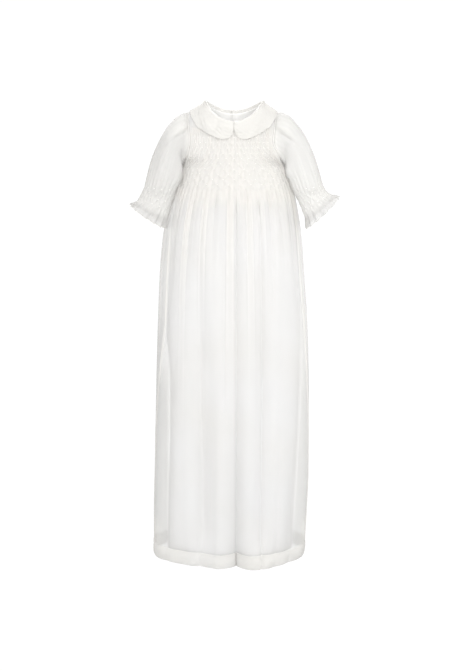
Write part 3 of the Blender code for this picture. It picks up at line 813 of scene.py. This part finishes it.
pieces = {"front": cloth("gown_front", front_points, organza_front, ORGANZA_WALL, 0.40, **front_dense)}
for panel in ("back_left", "back_right"):
    pieces[panel] = cloth("gown_" + panel, gowns[panel], organza, ORGANZA_WALL, 0.30)
for panel, points in linings.items():
    finish, width = (lawn, 0.36) if panel == "front" else (lawn_painted_paler, 0.18)
    pieces["lining_" + panel] = cloth("cotton_lining_" + panel, points, finish, LINING_WALL, width)
for panel, span in SPANS.items():
    hem, width = hem_cloth(panel != "front", span), 0.25 * (span[1] - span[0])
    pieces["hem_" + panel] = cloth("turned_hem_" + panel, hem, organza_edge, HEM_WALL, width)


def cloth_tree(grids):
    """Panels of cloth as one surface, to keep other cloth clear of it."""
    points, faces, start = [], [], 0
    for grid in grids:
        rows, columns = grid.shape[:2]
        number = start + np.arange(rows * columns).reshape(rows, columns)
        faces += corners(number).reshape(-1, 4).tolist()
        points += [Vector(point) for point in grid.reshape(-1, 3)]
        start += rows * columns
    return BVHTree.FromPolygons(points, faces)


body_tree = cloth_tree(gowns.values())


def kept_clear(points, movable, gap, closed=False):
    """Cloth that lies on the body's panels, moved out until it is gap or more above them."""
    for softened in (True, False, False):
        moved = np.zeros_like(points)  # the first pass is smoothed, and the others make it sure
        for r, c in np.argwhere(np.broadcast_to(movable, points.shape[:2])):
            spot = Vector(points[r, c])
            at, out, _, away = body_tree.find_nearest(spot, 16.0)
            if at is None:
                continue
            above = (spot - at).dot(out)
            beside_an_edge = abs(above) <= 0.8 * away and away >= 0.4
            if above < gap and not beside_an_edge:
                moved[r, c] = out * (gap - above)
        for _ in range(3 if softened else 0):
            beside = np.roll(moved, 1, 1) + np.roll(moved, -1, 1) if closed else 2 * moved
            moved[1:-1] = 0.25 * (moved[:-2] + moved[2:] + beside[1:-1])
        points = points + moved
    return points


# --- sleeves ---
def armhole_points(side, angles):
    """The armhole's edge, from the shoulder round the front, the underarm and the back."""
    points = np.zeros((len(angles), 3))
    for i, where in enumerate(angles / math.tau * 10):
        back = where > 5
        rung = 10 - where if back else where
        blend = min(rung / 2, 1.0)
        height = float(np.interp(rung, [2, 3, 4, 5], ARMHOLE_LEVELS)) if rung > 2 else CHEST_LEVEL * blend
        points[i] = form_points(np.array([side * 1.0]), np.array([height]), np.array([blend]), back)[0]
    return points


def sleeve_form(cut, ring, angle, turned):
    """The sleeve's rings, from the armhole's own edge out to the frill."""
    side, rings = cut["side"], cut["rings"]
    wide = {name: curve(rings, name, np.maximum(ring, 1), "ring") for name in rings}
    far = np.stack([side * wide["outer_x"], 0 * ring, wide["outer_z"]], axis=-1)
    near = np.stack([side * wide["inner_x"], 0 * ring, wide["inner_z"]], axis=-1)
    middle, half = (far + near) / 2, (far - near) / 2
    points = middle + half * np.cos(turned)[..., None]
    inner_front = 0.42 * bell(ring, 3.6, 2.2) * ease(-np.cos(turned), 0.1, 0.8) * (np.sin(turned) > 0)
    rounded = np.sign(np.sin(turned)) * np.abs(np.sin(turned)) ** (1 - inner_front)
    points[..., 1] = -wide["forward"] - rounded * wide["depth"]
    over_chest = cut["over"] * bell(turned, math.radians(150), math.radians(32))
    over_chest = over_chest * ease(ring, cut["over_from"], 2.8) * ease(ring, *cut["over_until"])
    points[..., 0] -= side * over_chest
    edge = armhole_points(side, angle)
    centre = edge.mean(axis=0)
    inward = unit(np.stack([0 * edge[:, 0], centre[1] - edge[:, 1], centre[2] - edge[:, 2]], axis=-1))
    edge = edge + inward + np.array([side * 0.9, 0, 0])
    share = np.clip(ring, 0, 1)[..., None]
    return np.where(share < 1, edge[None] * (1 - share) + points * share, points)


def sleeve_cloth(cut):
    """A puffed sleeve: gathered into the armhole, smocked above the wrist, with a fluted frill."""
    side, seed = cut["side"], cut["seed"]
    place = np.arange(SLEEVE_PLEATS * SLEEVE_FINE) / SLEEVE_FINE
    angle = math.tau * place / SLEEVE_PLEATS
    stretches = ((0, 1, 5), (1, 6.6, 46), (6.6, 9.2, 34), (9.2, 11, 20))  # head, puff, cuff and frill
    ring = np.concatenate([np.linspace(*stretch)[:-1] for stretch in stretches] + [[11.0]])[:, None]
    held = ease(ring, 6.7, 7.0) * ease(ring, 9.25, 9.0)
    turn = np.cos(math.pi * (ring - CUFF_TOP) / CUFF_CELL)
    shift = CUFF_SHIFT * np.sin(math.pi * place) * turn * held
    points = sleeve_form(cut, ring, angle, angle + shift * math.tau / SLEEVE_PLEATS)
    out = grid_normals(points, closed=True) * -side

    luck = np.random.default_rng(seed)
    pleat = place.astype(int) % SLEEVE_PLEATS
    upward = luck.uniform(0.5, 2.4, SLEEVE_PLEATS)[pleat]
    strength = luck.uniform(0.7, 1.3, SLEEVE_PLEATS)[pleat]
    falls = luck.uniform(0.7, 2.6, SLEEVE_PLEATS)[pleat]
    cap = (0.5 + 0.5 * np.cos(angle)) ** 0.8
    gathers = CAP_TALL * cap * strength * ease(ring, 0.0, 0.35) * np.exp(-((ring / falls) ** 2))
    rising = np.exp(-((np.maximum(6.8 - ring, 0) / upward) ** 1.4))
    tall = gathers + CUFF_TALL * rising * ease(ring, 9.9, 9.1)
    ridge = 1 - np.abs(np.cos(math.pi * place)) ** 2
    pinch = stitched_in(place, turn, held)
    relief = tall * (ridge - 0.45) - tall * 0.2 * ridge * turn**4 * held + tall * (1 - ridge) * 0.5 * pinch
    flutes = luck.uniform(0.65, 1.35, SLEEVE_PLEATS // 2)[pleat // 2]
    drift = 0.5 * slow_waves(angle / math.tau, 0 * angle, seed + 3, 4, (1, 3))
    flutes = np.cos(math.pi * place + drift) * flutes * FLUTE_TALL * ease(ring, 8.9, 10.9)
    puff = PUFF_WAVES * slow_waves(angle / math.tau * 2, ring / 30, seed + 5, 6, (1, 3))
    puff = puff * bell(ring, 4.2, 2.0)
    spoke = unit(points - points.mean(axis=1, keepdims=True))
    points = points + out * (relief + puff)[..., None] + spoke * flutes[..., None]

    # A crease runs out from the armpit, in the sleeve's front.
    front_share = np.clip(np.sin(angle), 0, 1)[None, :] ** 0.5
    x, z = np.abs(points[..., 0]), points[..., 2]
    root, tip = cut["pit"]
    length = math.hypot(tip[0] - root[0], tip[1] - root[1])
    way = ((tip[0] - root[0]) / length, (tip[1] - root[1]) / length)
    along = ((x - root[0]) * way[0] + (z - root[1]) * way[1]) / length
    above = -(x - root[0]) * way[1] + (z - root[1]) * way[0]
    there = ease(along, -0.5, 0.1) * ease(along, 1.7, 0.8) * front_share * ease(ring, 0.0, 0.5)
    crease = sum(height * bell(above, place, half) for height, place, half in PIT_CREASE)
    points = kept_clear(points + out * (crease * there)[..., None], ring > 0.9, ON_CHEST_GAP, closed=True)

    # Close gathers show at the head and cuff. Painted light makes the cloth paler above the armpit's crease
    # and on the front, and leaves it darker, as painted shade, under the crease. Painted shade also darkens
    # the left puff and both frills, where the frill also laps over itself, and the inside is thinner and
    # painted paler to lift the armpit's shade.
    painted_light_on_head = 0.8 * ease(above, -2.0, 2.5) * ease(ring, 4.2, 1.8) * (0.4 + 0.6 * front_share)
    under = 0.8 * ease(above, 1.0, -4.0) * front_share * ease(ring, 0.2, 0.8)
    drawn_in_and_painted_light = np.exp(-((ring / 2.6) ** 2)) * (0.3 + 0.7 * front_share) * (1 - under)
    dense_and_painted = np.maximum(np.maximum(0.32 * rising, painted_light_on_head), drawn_in_and_painted_light)
    dense_and_painted = dense_and_painted * (0.9 + 0.15 * ridge) * ease(ring, 10.0, 9.3)
    laps_and_painted_shade = np.maximum(cut["laps_and_painted_shade"] * (1 - painted_light_on_head), cut["frill"] * ease(ring, 9.2, 9.8))
    thin_and_painted_pale = bell(ring, 2.6, 1.5) * ease(-np.cos(angle), -0.2, 0.7)[None, :] * ease(ring, 0.4, 1.2)
    thin_and_painted_pale = thin_and_painted_pale * cut["thin_and_painted_pale"]
    return points, out, ring, {"gathers_and_painted_light": dense_and_painted * (1 - 0.8 * thin_and_painted_pale), "laps_and_painted_shade": laps_and_painted_shade, "thin_and_painted_pale": thin_and_painted_pale}


sleeves = {}
for end, cut in SLEEVES.items():
    points, out, ring, dense = sleeve_cloth(cut)
    sleeves[end] = (points, out, ring)
    facing = slice(None, None, -cut["side"])
    pieces["sleeve_" + end] = cloth(
        "puff_sleeve_" + end, points[:, facing], organza_sleeve, ORGANZA_WALL, 0.28, True,
        **{name: share[:, facing] for name, share in dense.items()},
    )


# --- rolled edges ---
def rolled_edge(name, line, radius, finish, closed=True, sides=6):
    """A narrow rolled hem or a seam's ridge along an edge, as a fine tube."""
    along = unit(np.roll(line, -1, 0) - np.roll(line, 1, 0) if closed else np.gradient(line, axis=0))
    upright = unit(np.cross(along, np.array([0.31, 0.22, 0.92])))
    other = np.cross(along, upright)
    turns = np.linspace(0, math.tau, sides + 1)[:-1]
    tube = np.array([line + radius * (math.cos(turn) * upright + math.sin(turn) * other) for turn in turns])
    number = np.arange(len(line) * sides).reshape(-1, sides)
    ends = [] if closed else [number[0, ::-1].tolist(), number[-1].tolist()]
    number = np.hstack([number, number[:, :1]])
    if closed:
        number = np.vstack([number, number[:1]])
    faces = corners(number.T).transpose(1, 0, 2).reshape(-1, 4).tolist() + ends
    piece = add_piece(name, tube.transpose(1, 0, 2).reshape(-1, 3) * MM, faces, finish)
    deselect()
    piece.select_set(True)
    bpy.context.view_layer.objects.active = piece
    bpy.ops.object.mode_set(mode="EDIT")
    bpy.ops.mesh.select_all(action="SELECT")
    bpy.ops.mesh.normals_make_consistent(inside=False)
    bpy.ops.object.mode_set(mode="OBJECT")
    piece.select_set(False)
    return piece


trim = []
for end, cut in SLEEVES.items():
    side = cut["side"]
    armhole = armhole_points(side, np.linspace(0, math.tau, 121)[:-1]) + np.array([side * 0.8, 0, 0])
    armhole[:, 1] += np.where(armhole[:, 1] < 0, -1.0, 1.0)
    trim.append((rolled_edge("armhole_seam_" + end, armhole, 0.7, organza_doubled), "organza"))
    edge = rolled_edge("rolled_frill_edge_" + end, sleeves[end][0][-1], 0.55, organza_doubled)
    trim.append((edge, "organza"))
edge = linings["back_right"][:, -1]
edge = edge[edge[:, 2] > -72] + np.array([0.2, -0.5, 0])
trim.append((rolled_edge("back_opening_edge", edge, 0.6, lawn_painted_paler, closed=False), "lining"))


# --- collar, neck and back opening ---
def smooth_form_tree():
    """The gown's shoulders as one smooth surface to lay the collar and the placket on."""
    across = np.linspace(-1, 1, 61)
    height = np.array([0, CHEST_LEVEL / 2, *BODY["height"][:6]])[:, None]
    blend = np.minimum(height / CHEST_LEVEL, 1.0)
    front, rear = (form_points(across, height, blend, back, short=False) for back in (False, True))
    return cloth_tree([front, rear[:, ::-1]])


form_tree = smooth_form_tree()


def laid_on(point, lift):
    """The nearest point of the form, moved out by lift along the cloth's mean slope."""
    at = form_tree.find_nearest(Vector(point))[0]
    out = Vector()
    for step in ((5, 0, 0), (-5, 0, 0), (0, 5, 0), (0, -5, 0), (0, 0, -5)):
        out += form_tree.find_nearest(at + Vector(step))[1]
    return at + out.normalized() * lift


def neck_across(around, side):
    """Where a turn round the neck, from 0 at the front to 180 at the back, is on its panel."""
    back = around > 90
    share = NECK_SHARE * (1 - (around - 90) / 90 if back else around / 90)
    return np.array([side * max(share, 1e-6)]), back


def neck_edge(around, side):
    return top_points(*neck_across(around, side))[0]


def collar_cloth(side, seed):
    """Half of the round collar, lying on the shoulders, with its edge seam and soft waves."""
    around = np.linspace(2, 178, 111)
    steps = np.concatenate([np.linspace(0.06, 0.88, 20), [0.9, 0.93, 0.96, 0.985, 1.0]])
    closer = 1 - 0.8 * ease(steps, 0.85, 0.5)
    width = curve(COLLAR, "width", around, "around")
    raised = curve(COLLAR, "raised", around, "around")
    lift_at = np.interp(steps, *COLLAR_LIFT)
    grid = np.zeros((len(steps), len(around), 3))
    for r, step in enumerate(steps):
        for c, angle in enumerate(around):
            centre = bell(angle, 2, 9)
            angle = angle + (closer[r] - 1) * (2.4 * bell(angle, 2, 7) - 2.0 * bell(angle, 178, 10))
            turn = math.radians(angle)
            way = np.array([side * math.sin(turn), -math.cos(turn), -(1.0 - 0.45 * math.sin(turn))])
            way /= np.linalg.norm(way)
            wave = 0.3 * (1 - math.cos(turn * 9)) * step
            lift = (lift_at[r] + raised[c] + wave) * (1 - 0.45 * centre)
            grid[r, c] = laid_on(neck_edge(angle, side) + way * (1 + width[c] * step), lift)
    for _ in range(2):
        inner = grid[1:-1, 1:-1]
        inner += 0.25 * (grid[:-2, 1:-1] + grid[2:, 1:-1] + grid[1:-1, :-2] + grid[1:-1, 2:] - 4 * inner)
    out = grid_normals(grid)
    out = -out if out[..., 2].mean() < 0 else out
    steps = steps[:, None]
    seam = 0.35 * bell(steps, 0.93, 0.02) + 0.25 * bell(steps, 0.99, 0.02)
    flow = 0.9 * slow_waves(around / 90, steps * 0.4, seed, 6, (0.5, 2.5))
    flow = flow + 0.8 * slow_waves(around / 15, steps * 2.6, seed + 1, 9, (0.6, 2.0))
    flow = flow * ease(steps, 0.15, 0.5)
    if side < 0:
        down = np.clip((grid[..., 2] + 32) / -26, -0.3, 1.2)
        away = np.abs(grid[..., 0] + 46 - 5 * down) / (4 + 15 * (1 - down))
        flow = flow + (2.8 * bell(away, 0, 0.6) - 1.7 * bell(away, 1.05, 0.18)) * ease(down, -0.25, 0.1)
    flow = np.where(flow > 0, flow * (1 - 0.6 * ease(steps, 0.72, 0.98)), flow)
    grid = grid + out * (seam + np.maximum(flow, -1.1 + 0.5 * ease(steps, 0.5, 0.8)))[..., None]
    roll = np.zeros((len(COLLAR_ROLL), len(around), 3))
    for c, angle in enumerate(around):
        angle = angle - 1.5 * (bell(angle, 2, 10) - bell(angle, 178, 10))
        turn = math.radians(angle)
        outward = np.array([side * math.sin(turn), -math.cos(turn), 0.0])
        for r, (rise, reach) in enumerate(COLLAR_ROLL):
            roll[r, c] = neck_edge(angle, side) + outward * reach + np.array([0, 0, rise])
    grid = np.concatenate([roll, grid])
    for _ in range(3):
        inner = grid[1:8]
        inner += 0.3 * (grid[:7] + grid[2:9] - 2 * inner)
    grid = kept_clear(grid, np.arange(len(grid))[:, None] > 9, COLLAR_GAP)
    return grid[:, ::-1] if side < 0 else grid


def binding_cloth():
    """The neck's bias binding: up the outside, over the top and down the inside."""
    front, rear = np.linspace(90, 0, 61), np.linspace(180, 90, 61)
    left = [(around, -1.0) for around in (*rear[:-1], *front[:-1])]
    right = [(around, 1.0) for around in (*front[::-1], *rear[-2::-1])]
    top, under = [], []
    for around, side in left + right:
        across, back = neck_across(around, side)
        for rows, blend in ((top, 0.0), (under, 0.12)):
            rows.append(form_points(across, CHEST_LEVEL * np.array([blend]), np.array([blend]), back)[0])
    top, under = np.array(top), np.array(under)
    along = unit(np.gradient(top, axis=0))
    onward = top - under
    onward = unit(onward - along * (onward * along).sum(axis=1, keepdims=True))
    upward = unit(onward + np.array([0, 0, 0.8]))
    out = unit(np.cross(along, upward))
    outside = np.sign((out[:, :2] * top[:, :2]).sum(axis=1))[:, None]
    out = out * np.where(outside == 0, 1, outside)
    low = top + onward * 0.5
    grid = np.array([low + upward * rise + out * lift for rise, lift in zip(BINDING_RISES, BINDING_LIFTS)])
    grid[:, 0, 0], grid[:, -1, 0] = -0.12, -4.5
    grid[:, -2, 0] = 0.1
    grid[:, -5:, 1] -= np.array([0.3, 1.0, 1.8, 2.3, 2.3])
    return grid[::-1]


def down_the_back(x, drop):
    """A point near the back's centre, drop under the neck."""
    top = neck_edge(180, 1)
    return x, top[1] + 6 + drop * 0.1, top[2] - drop


def placket_cloth():
    """The strip over the back opening, folded under along both edges."""
    section = PLACKET_HALF + [(-x, rise) for x, rise in PLACKET_HALF[-2::-1]]
    return np.array([
        [tuple(laid_on(down_the_back(x, drop), PLACKET_LIFT + rise)) for x, rise in section]
        for drop in np.linspace(PLACKET_START, PLACKET_LENGTH, 60)
    ])


for end, side, seed in (("left", -1, 81), ("right", 1, 85)):
    grid = collar_cloth(side, seed)
    pieces["collar_" + end] = cloth("round_collar_" + end, grid, organza_collar, COLLAR_WALL, 0.19)
pieces["neck_binding"] = cloth("bias_neck_binding", binding_cloth(), organza_doubled, DOUBLED_WALL, 0.29)
pieces["back_placket"] = cloth("back_placket_strip", placket_cloth(), organza_doubled, DOUBLED_WALL, 0.02)


def pearl_button():
    """A round four-hole shell button, lying flat at the origin: rim, dish and holes."""
    deselect()
    bpy.ops.mesh.primitive_cylinder_add(vertices=48, radius=BUTTON_RADIUS * MM, depth=BUTTON_THICKNESS * MM)
    button = bpy.context.object
    mesh = button.data
    bpy.ops.object.mode_set(mode="EDIT")
    bpy.ops.mesh.select_mode(type="FACE")
    bpy.ops.mesh.select_all(action="DESELECT")
    bpy.ops.object.mode_set(mode="OBJECT")
    for face in mesh.polygons:
        face.select = face.normal.z > 0.9
    bpy.ops.object.mode_set(mode="EDIT")
    bpy.ops.mesh.inset(thickness=RIM * MM)
    bpy.ops.mesh.inset(thickness=DISH_EDGE[0] * MM)
    bpy.ops.transform.translate(value=(0, 0, -DISH_DEPTH * MM))
    bpy.ops.mesh.inset(thickness=DISH_EDGE[1] * MM)
    bpy.ops.object.mode_set(mode="OBJECT")
    bevel = button.modifiers.new("soft_rim", "BEVEL")
    bevel.width = 0.35 * MM
    bevel.segments = 3
    bevel.limit_method = "ANGLE"
    bevel.angle_limit = math.radians(35)
    bpy.ops.object.modifier_apply(modifier="soft_rim")
    for x, y in ((1, 1), (-1, 1), (1, -1), (-1, -1)):
        deselect()
        bpy.ops.mesh.primitive_cylinder_add(
            vertices=16, radius=HOLE_RADIUS * MM, depth=DRILL_LENGTH * MM,
            location=(x * HOLE_PLACE * MM, y * HOLE_PLACE * MM, 0),
        )
        drill = bpy.context.object
        hole = button.modifiers.new("hole", "BOOLEAN")
        hole.operation = "DIFFERENCE"
        hole.object = drill
        bpy.context.view_layer.objects.active = button
        bpy.ops.object.modifier_apply(modifier="hole")
        bpy.data.objects.remove(drill)
    mesh.materials.clear()
    mesh.materials.append(pearl)
    mesh.shade_smooth()
    mesh.set_sharp_from_angle(angle=math.radians(42))
    return button


pattern = pearl_button()
for number, drop in enumerate(BUTTON_DROPS, 1):
    near = down_the_back(0, drop)
    seat = laid_on(near, BUTTON_LIFT)
    out = (seat - laid_on(near, 0)).normalized()
    button = bpy.data.objects.new(f"pearl_button_{number}", pattern.data.copy())
    bpy.context.scene.collection.objects.link(button)
    turn = out.to_track_quat("Z", "Y").to_matrix().to_4x4()
    turn.translation = seat * MM
    button.data.transform(turn)
    pieces[f"button_{number}"] = button
bpy.data.objects.remove(pattern)


# --- stitches ---
def stitch_pattern(length, thick):
    """One small satin stitch along X, a few dozen faces."""
    deselect()
    bpy.ops.mesh.primitive_uv_sphere_add(segments=8, ring_count=5, radius=0.5)
    stitch = bpy.context.object
    bpy.ops.object.mode_set(mode="EDIT")
    bpy.ops.mesh.select_all(action="SELECT")
    bpy.ops.transform.resize(value=(length, thick, thick))
    bpy.ops.object.mode_set(mode="OBJECT")
    points = np.array([v.co for v in stitch.data.vertices])
    faces = [tuple(face.vertices) for face in stitch.data.polygons]
    bpy.data.objects.remove(stitch)
    return points, faces


def honeycomb_stitches(name, points, out, rows, valleys, fine, size, lift):
    """A stitch over each pair of pleats that the honeycomb joins, in these rows of the cloth."""
    pattern, pattern_faces = stitch_pattern(*size)
    joined = [
        (r, valley * fine) for number, r in rows.items() for valley in valleys if (valley + number) % 2
    ]
    r, c = np.array(joined).T
    along = unit(points[r, (c + 2) % points.shape[1]] - points[r, c - 2])
    sideways = unit(np.cross(unit(out[r, c]), along))
    turns = np.stack([along, sideways, np.cross(along, sideways)], axis=-1)
    placed = [pattern @ turn.T + spot for turn, spot in zip(turns, points[r, c] + out[r, c] * lift)]
    starts = range(0, len(joined) * len(pattern), len(pattern))
    faces = [tuple(start + k for k in face) for start in starts for face in pattern_faces]
    trim.append((add_piece(name, np.vstack(placed) * MM, faces, floss), "organza"))


def nearest_rows(at, levels):
    """The row of cloth nearest to each level of a honeycomb."""
    return {number: int(np.argmin(np.abs(at - level))) for number, level in levels.items()}


levels = {row: SMOCK_TOP - row * CELL for row in range(1, int((SMOCK_TOP - SMOCK_END) / CELL) + 1)}
honeycomb_stitches(
    "smocking_stitches", front_points, grid_normals(front_points),
    nearest_rows(front_heights[:, 0], levels), range(2, FRONT_PLEATS - 1), FRONT_FINE, (1.7, 0.5), 0.45,
)
for end, (points, out, ring) in sleeves.items():
    rows = nearest_rows(ring[:, 0], {row: CUFF_TOP + row * CUFF_CELL for row in range(4)})
    honeycomb_stitches(
        "cuff_stitches_" + end, points, out, rows, range(SLEEVE_PLEATS), SLEEVE_FINE, (1.8, 0.55), 0.4
    )


# --- what stands for what ---
for node, piece in pieces.items():
    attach(piece, "root")
    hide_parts(node)
for piece, finish in trim:
    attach(piece, "root")


# --- light, floor and camera ---
WHITE = (1, 1, 1, 1)
SEEN_WHITE = 1.05        # the room as the camera sees it
ROOM_LIGHT = 0.87
LAMPS = {                # place and size in metres, and power in watts
    "key": ((0.25, -2.5, 0.6), 1.6, 34.5),
    "over": ((0.1, -0.9, 1.9), 1.4, 7.0),
    "left": ((-2.2, -1.3, -0.5), 1.2, 12.0),
    "right": ((2.2, -1.2, -0.5), 1.2, 13.0),
    "behind": ((-0.4, 2.4, 0.9), 1.6, 56.0),
}
LAMPS_AIM = Vector((0, 0, -0.4))
FLOOR_LEVEL = -1.5
CAMERA_AIM = Vector((0.0017, 0, -0.399))
CAMERA_DISTANCE = 2.10
CAMERA_PITCH = math.radians(12)
CAMERA_LENS = 92.98


def add_object(name, data):
    made = bpy.data.objects.new(name, data)
    bpy.context.scene.collection.objects.link(made)
    return made


def seen_or_lit(tree, lit, seen, output):
    """One shader for the light that falls on things and another for what the camera sees."""
    to_camera = add_node(tree, "LightPath").outputs["Is Camera Ray"]
    mix = add_node(tree, "MixShader", wires={"Fac": to_camera, 1: lit.outputs[0], 2: seen.outputs[0]})
    tree.links.new(mix.outputs[0], output.inputs["Surface"])


def studio():
    scene = bpy.context.scene
    scene.world = bpy.data.worlds.new("soft_room")
    scene.world.use_nodes = True
    tree = scene.world.node_tree
    tree.nodes.clear()
    lit, seen = (
        add_node(tree, "Background", {"Color": WHITE, "Strength": power})
        for power in (ROOM_LIGHT, SEEN_WHITE)
    )
    seen_or_lit(tree, lit, seen, add_node(tree, "OutputWorld"))

    for name, (place, size, power) in LAMPS.items():
        data = bpy.data.lights.new(name, "AREA")
        data.shape = "SQUARE"
        data.size = size
        data.energy = power
        lamp = add_object(name, data)
        lamp.location = place
        lamp.rotation_euler = (LAMPS_AIM - Vector(place)).to_track_quat("-Z", "Y").to_euler()

    deselect()
    bpy.ops.mesh.primitive_plane_add(size=30, location=(0, 0, 0))
    floor = bpy.context.object
    floor.name = "pale_floor"
    floor.data.transform(Matrix.Translation((0, 0, FLOOR_LEVEL)))
    paint = {"Base Color": (0.46, 0.46, 0.46, 1), "Roughness": 0.9}
    material, tree, shader = new_finish("pale_paint", (0.8, 0.8, 0.8), paint)
    seen = add_node(tree, "Emission", {"Strength": SEEN_WHITE})
    seen_or_lit(tree, shader, seen, tree.nodes["Material Output"])
    floor.data.materials.append(material)

    data = bpy.data.cameras.new("camera")
    data.sensor_fit = "HORIZONTAL"
    data.sensor_width = 36
    data.lens = CAMERA_LENS
    data.clip_end = 60
    camera = add_object("camera", data)
    back_up = Vector((0, -math.cos(CAMERA_PITCH), math.sin(CAMERA_PITCH))) * CAMERA_DISTANCE
    camera.location = CAMERA_AIM + back_up
    camera.rotation_euler = (math.pi / 2 - CAMERA_PITCH, 0, 0)
    scene.camera = camera
    scene.view_settings.view_transform = "Standard"


studio()
